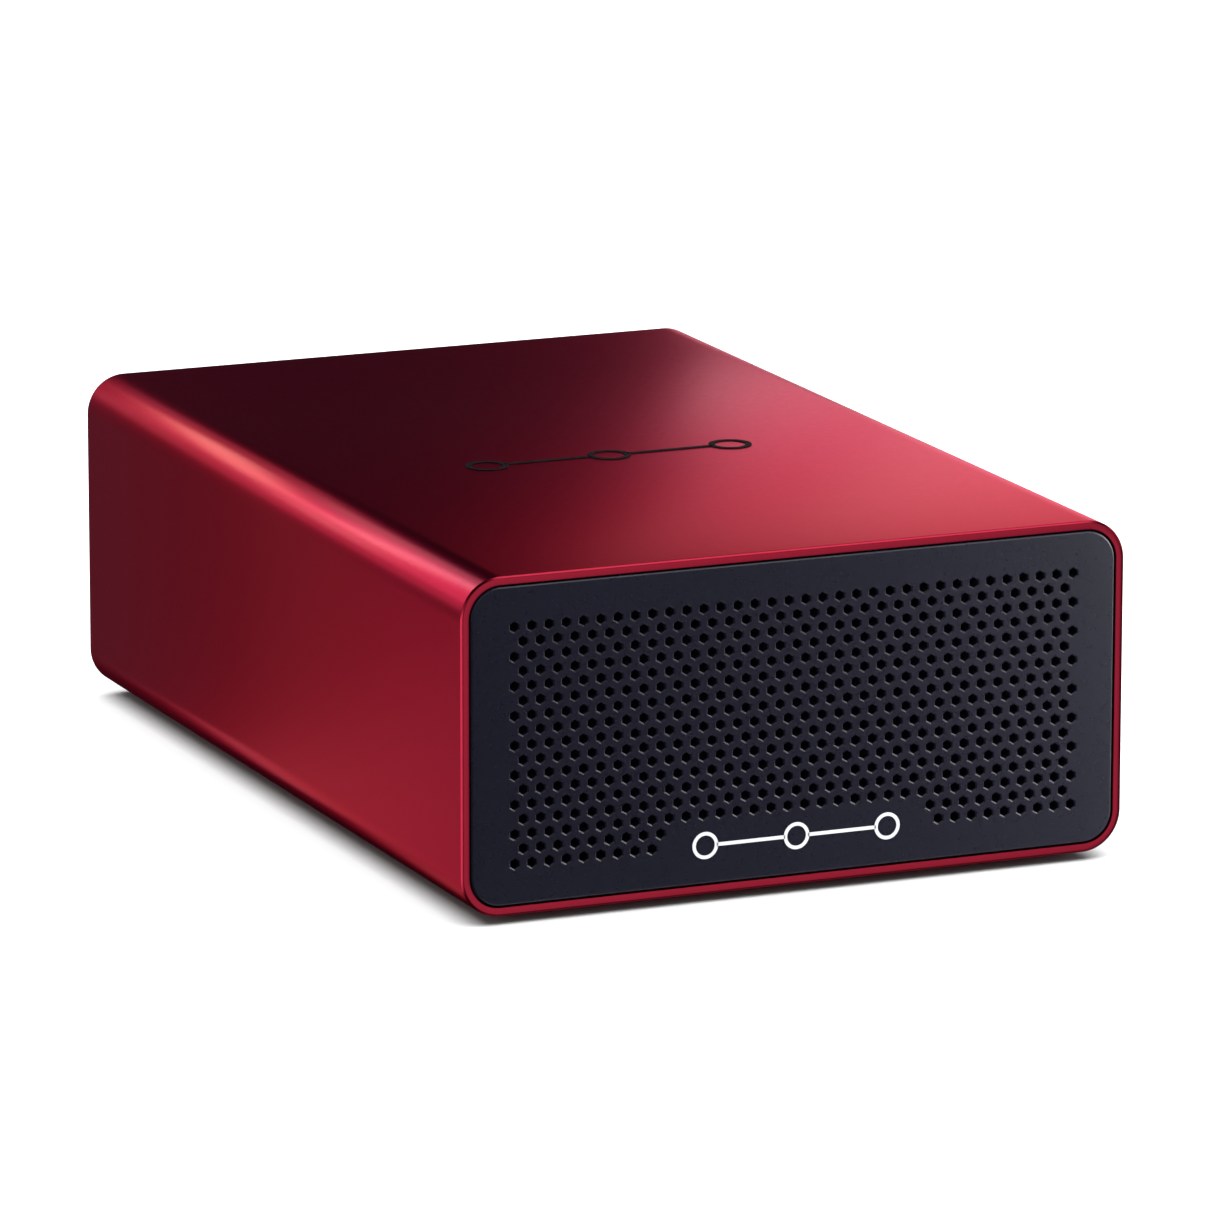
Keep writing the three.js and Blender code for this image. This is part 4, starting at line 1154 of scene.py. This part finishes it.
# On everything but the sleeve and the front: they light the dark rear panel.
REAR_CARDS = (
    ("rear_left", REAR_WALL, (-1.5, 0.0), (-0.8, 0.05), 6.0),
    ("rear_right", REAR_WALL, (0.0, 1.5), (-0.8, 0.05), 3.0),
)


def make_floor():
    bm = bmesh.new()
    span = (-FLOOR_HALF, FLOOR_HALF)
    bm.faces.new([bm.verts.new((x, y, 0)) for x, y in rectangle(span, span)])
    mesh = bpy.data.meshes.new("floor")
    bm.to_mesh(mesh)
    bm.free()
    mesh.materials.append(stage_floor())
    floor = add_object("floor", mesh)
    floor.visible_glossy = False
    floor.visible_shadow = False


def only(name, objects):
    """Collection that limits a light to some objects."""
    group = bpy.data.collections.new(name)
    for o in objects:
        group.objects.link(o)
    return group


def light_card(name, wall, across, height, power, color):
    """Soft light that hangs on a wall and faces straight across the object."""
    axis, place = wall
    middle = (sum(across) / 2, sum(height) / 2)
    here, there = (Vector(on_axis(axis, *middle, along)) for along in (place, -place))
    light = bpy.data.lights.new(name, "AREA")
    light.shape = "RECTANGLE"
    light.size, light.size_y = across[1] - across[0], height[1] - height[0]
    light.energy = power
    light.color = color
    lamp = add_object(name, light)
    lamp.location = here
    lamp.rotation_euler = (there - here).to_track_quat("-Z", "Y").to_euler()
    lamp.visible_camera = False
    return lamp


def build_lights():
    world = bpy.data.worlds.new("studio")
    bpy.context.scene.world = world
    world.use_nodes = True
    background = world.node_tree.nodes["Background"]
    background.inputs["Color"].default_value = (*WHITE, 1)
    background.inputs["Strength"].default_value = WORLD_STRENGTH
    world.cycles_visibility.glossy = False
    bpy.context.scene.view_settings.view_transform = "Standard"

    things = bpy.data.objects
    others = [o for o in things if o.type == "MESH" and o.name not in ("sleeve", "floor")]
    fronts = ("perforated_panel", "front_print", "top_print")
    sleeve_only = only("sleeve_only", [things["sleeve"]])
    not_sleeve = only("not_sleeve", others)
    panel_only = only("panel_only", [things["perforated_panel"]])
    rear_only = only("rear_only", [o for o in others if o.name not in fronts])
    for receivers, color, cards in (
            (None, WHITE, SHARED_CARDS), (sleeve_only, WHITE, RIM_CARDS),
            (sleeve_only, TINT, TINT_CARDS), (sleeve_only, FAR_TINT, FAR_CARDS),
            (sleeve_only, NEAR_TINT, NEAR_CARDS), (not_sleeve, WHITE, FRONT_CARDS),
            (panel_only, WHITE, FACET_CARDS), (rear_only, WHITE, REAR_CARDS)):
        for card in cards:
            lamp = light_card(*card, color)
            if receivers:
                lamp.light_linking.receiver_collection = receivers

    sun = bpy.data.lights.new("floor_sun", "SUN")
    sun.energy = FLOOR_SUN
    sun.angle = FLOOR_SUN_WIDTH
    lamp = add_object("floor_sun", sun)
    lamp.rotation_euler = FLOOR_SUN_LEAN
    lamp.light_linking.receiver_collection = only("floor_receivers", [things["floor"]])


make_camera()
make_floor()
dress_frame_nodes()
sleeve()
front_panel()
link_mark("front_print", "front_mark", "light_print", 44, 2.7, 0.7, "y")
link_mark("top_print", "top_mark", "dark_print", 62, 4.4, 1.2, "z")
for build in (dust_screen, feet, screws, rear_panel, port_numbers, ethernet_jacks, usb_ports,
              clock_connectors, power_inlet, power_switch, fan_housing, fan_impeller,
              screw_channels, grid_array_chips, memory_chip, power_filter, card_socket, leads,
              board_parts, build_lights):
    build()
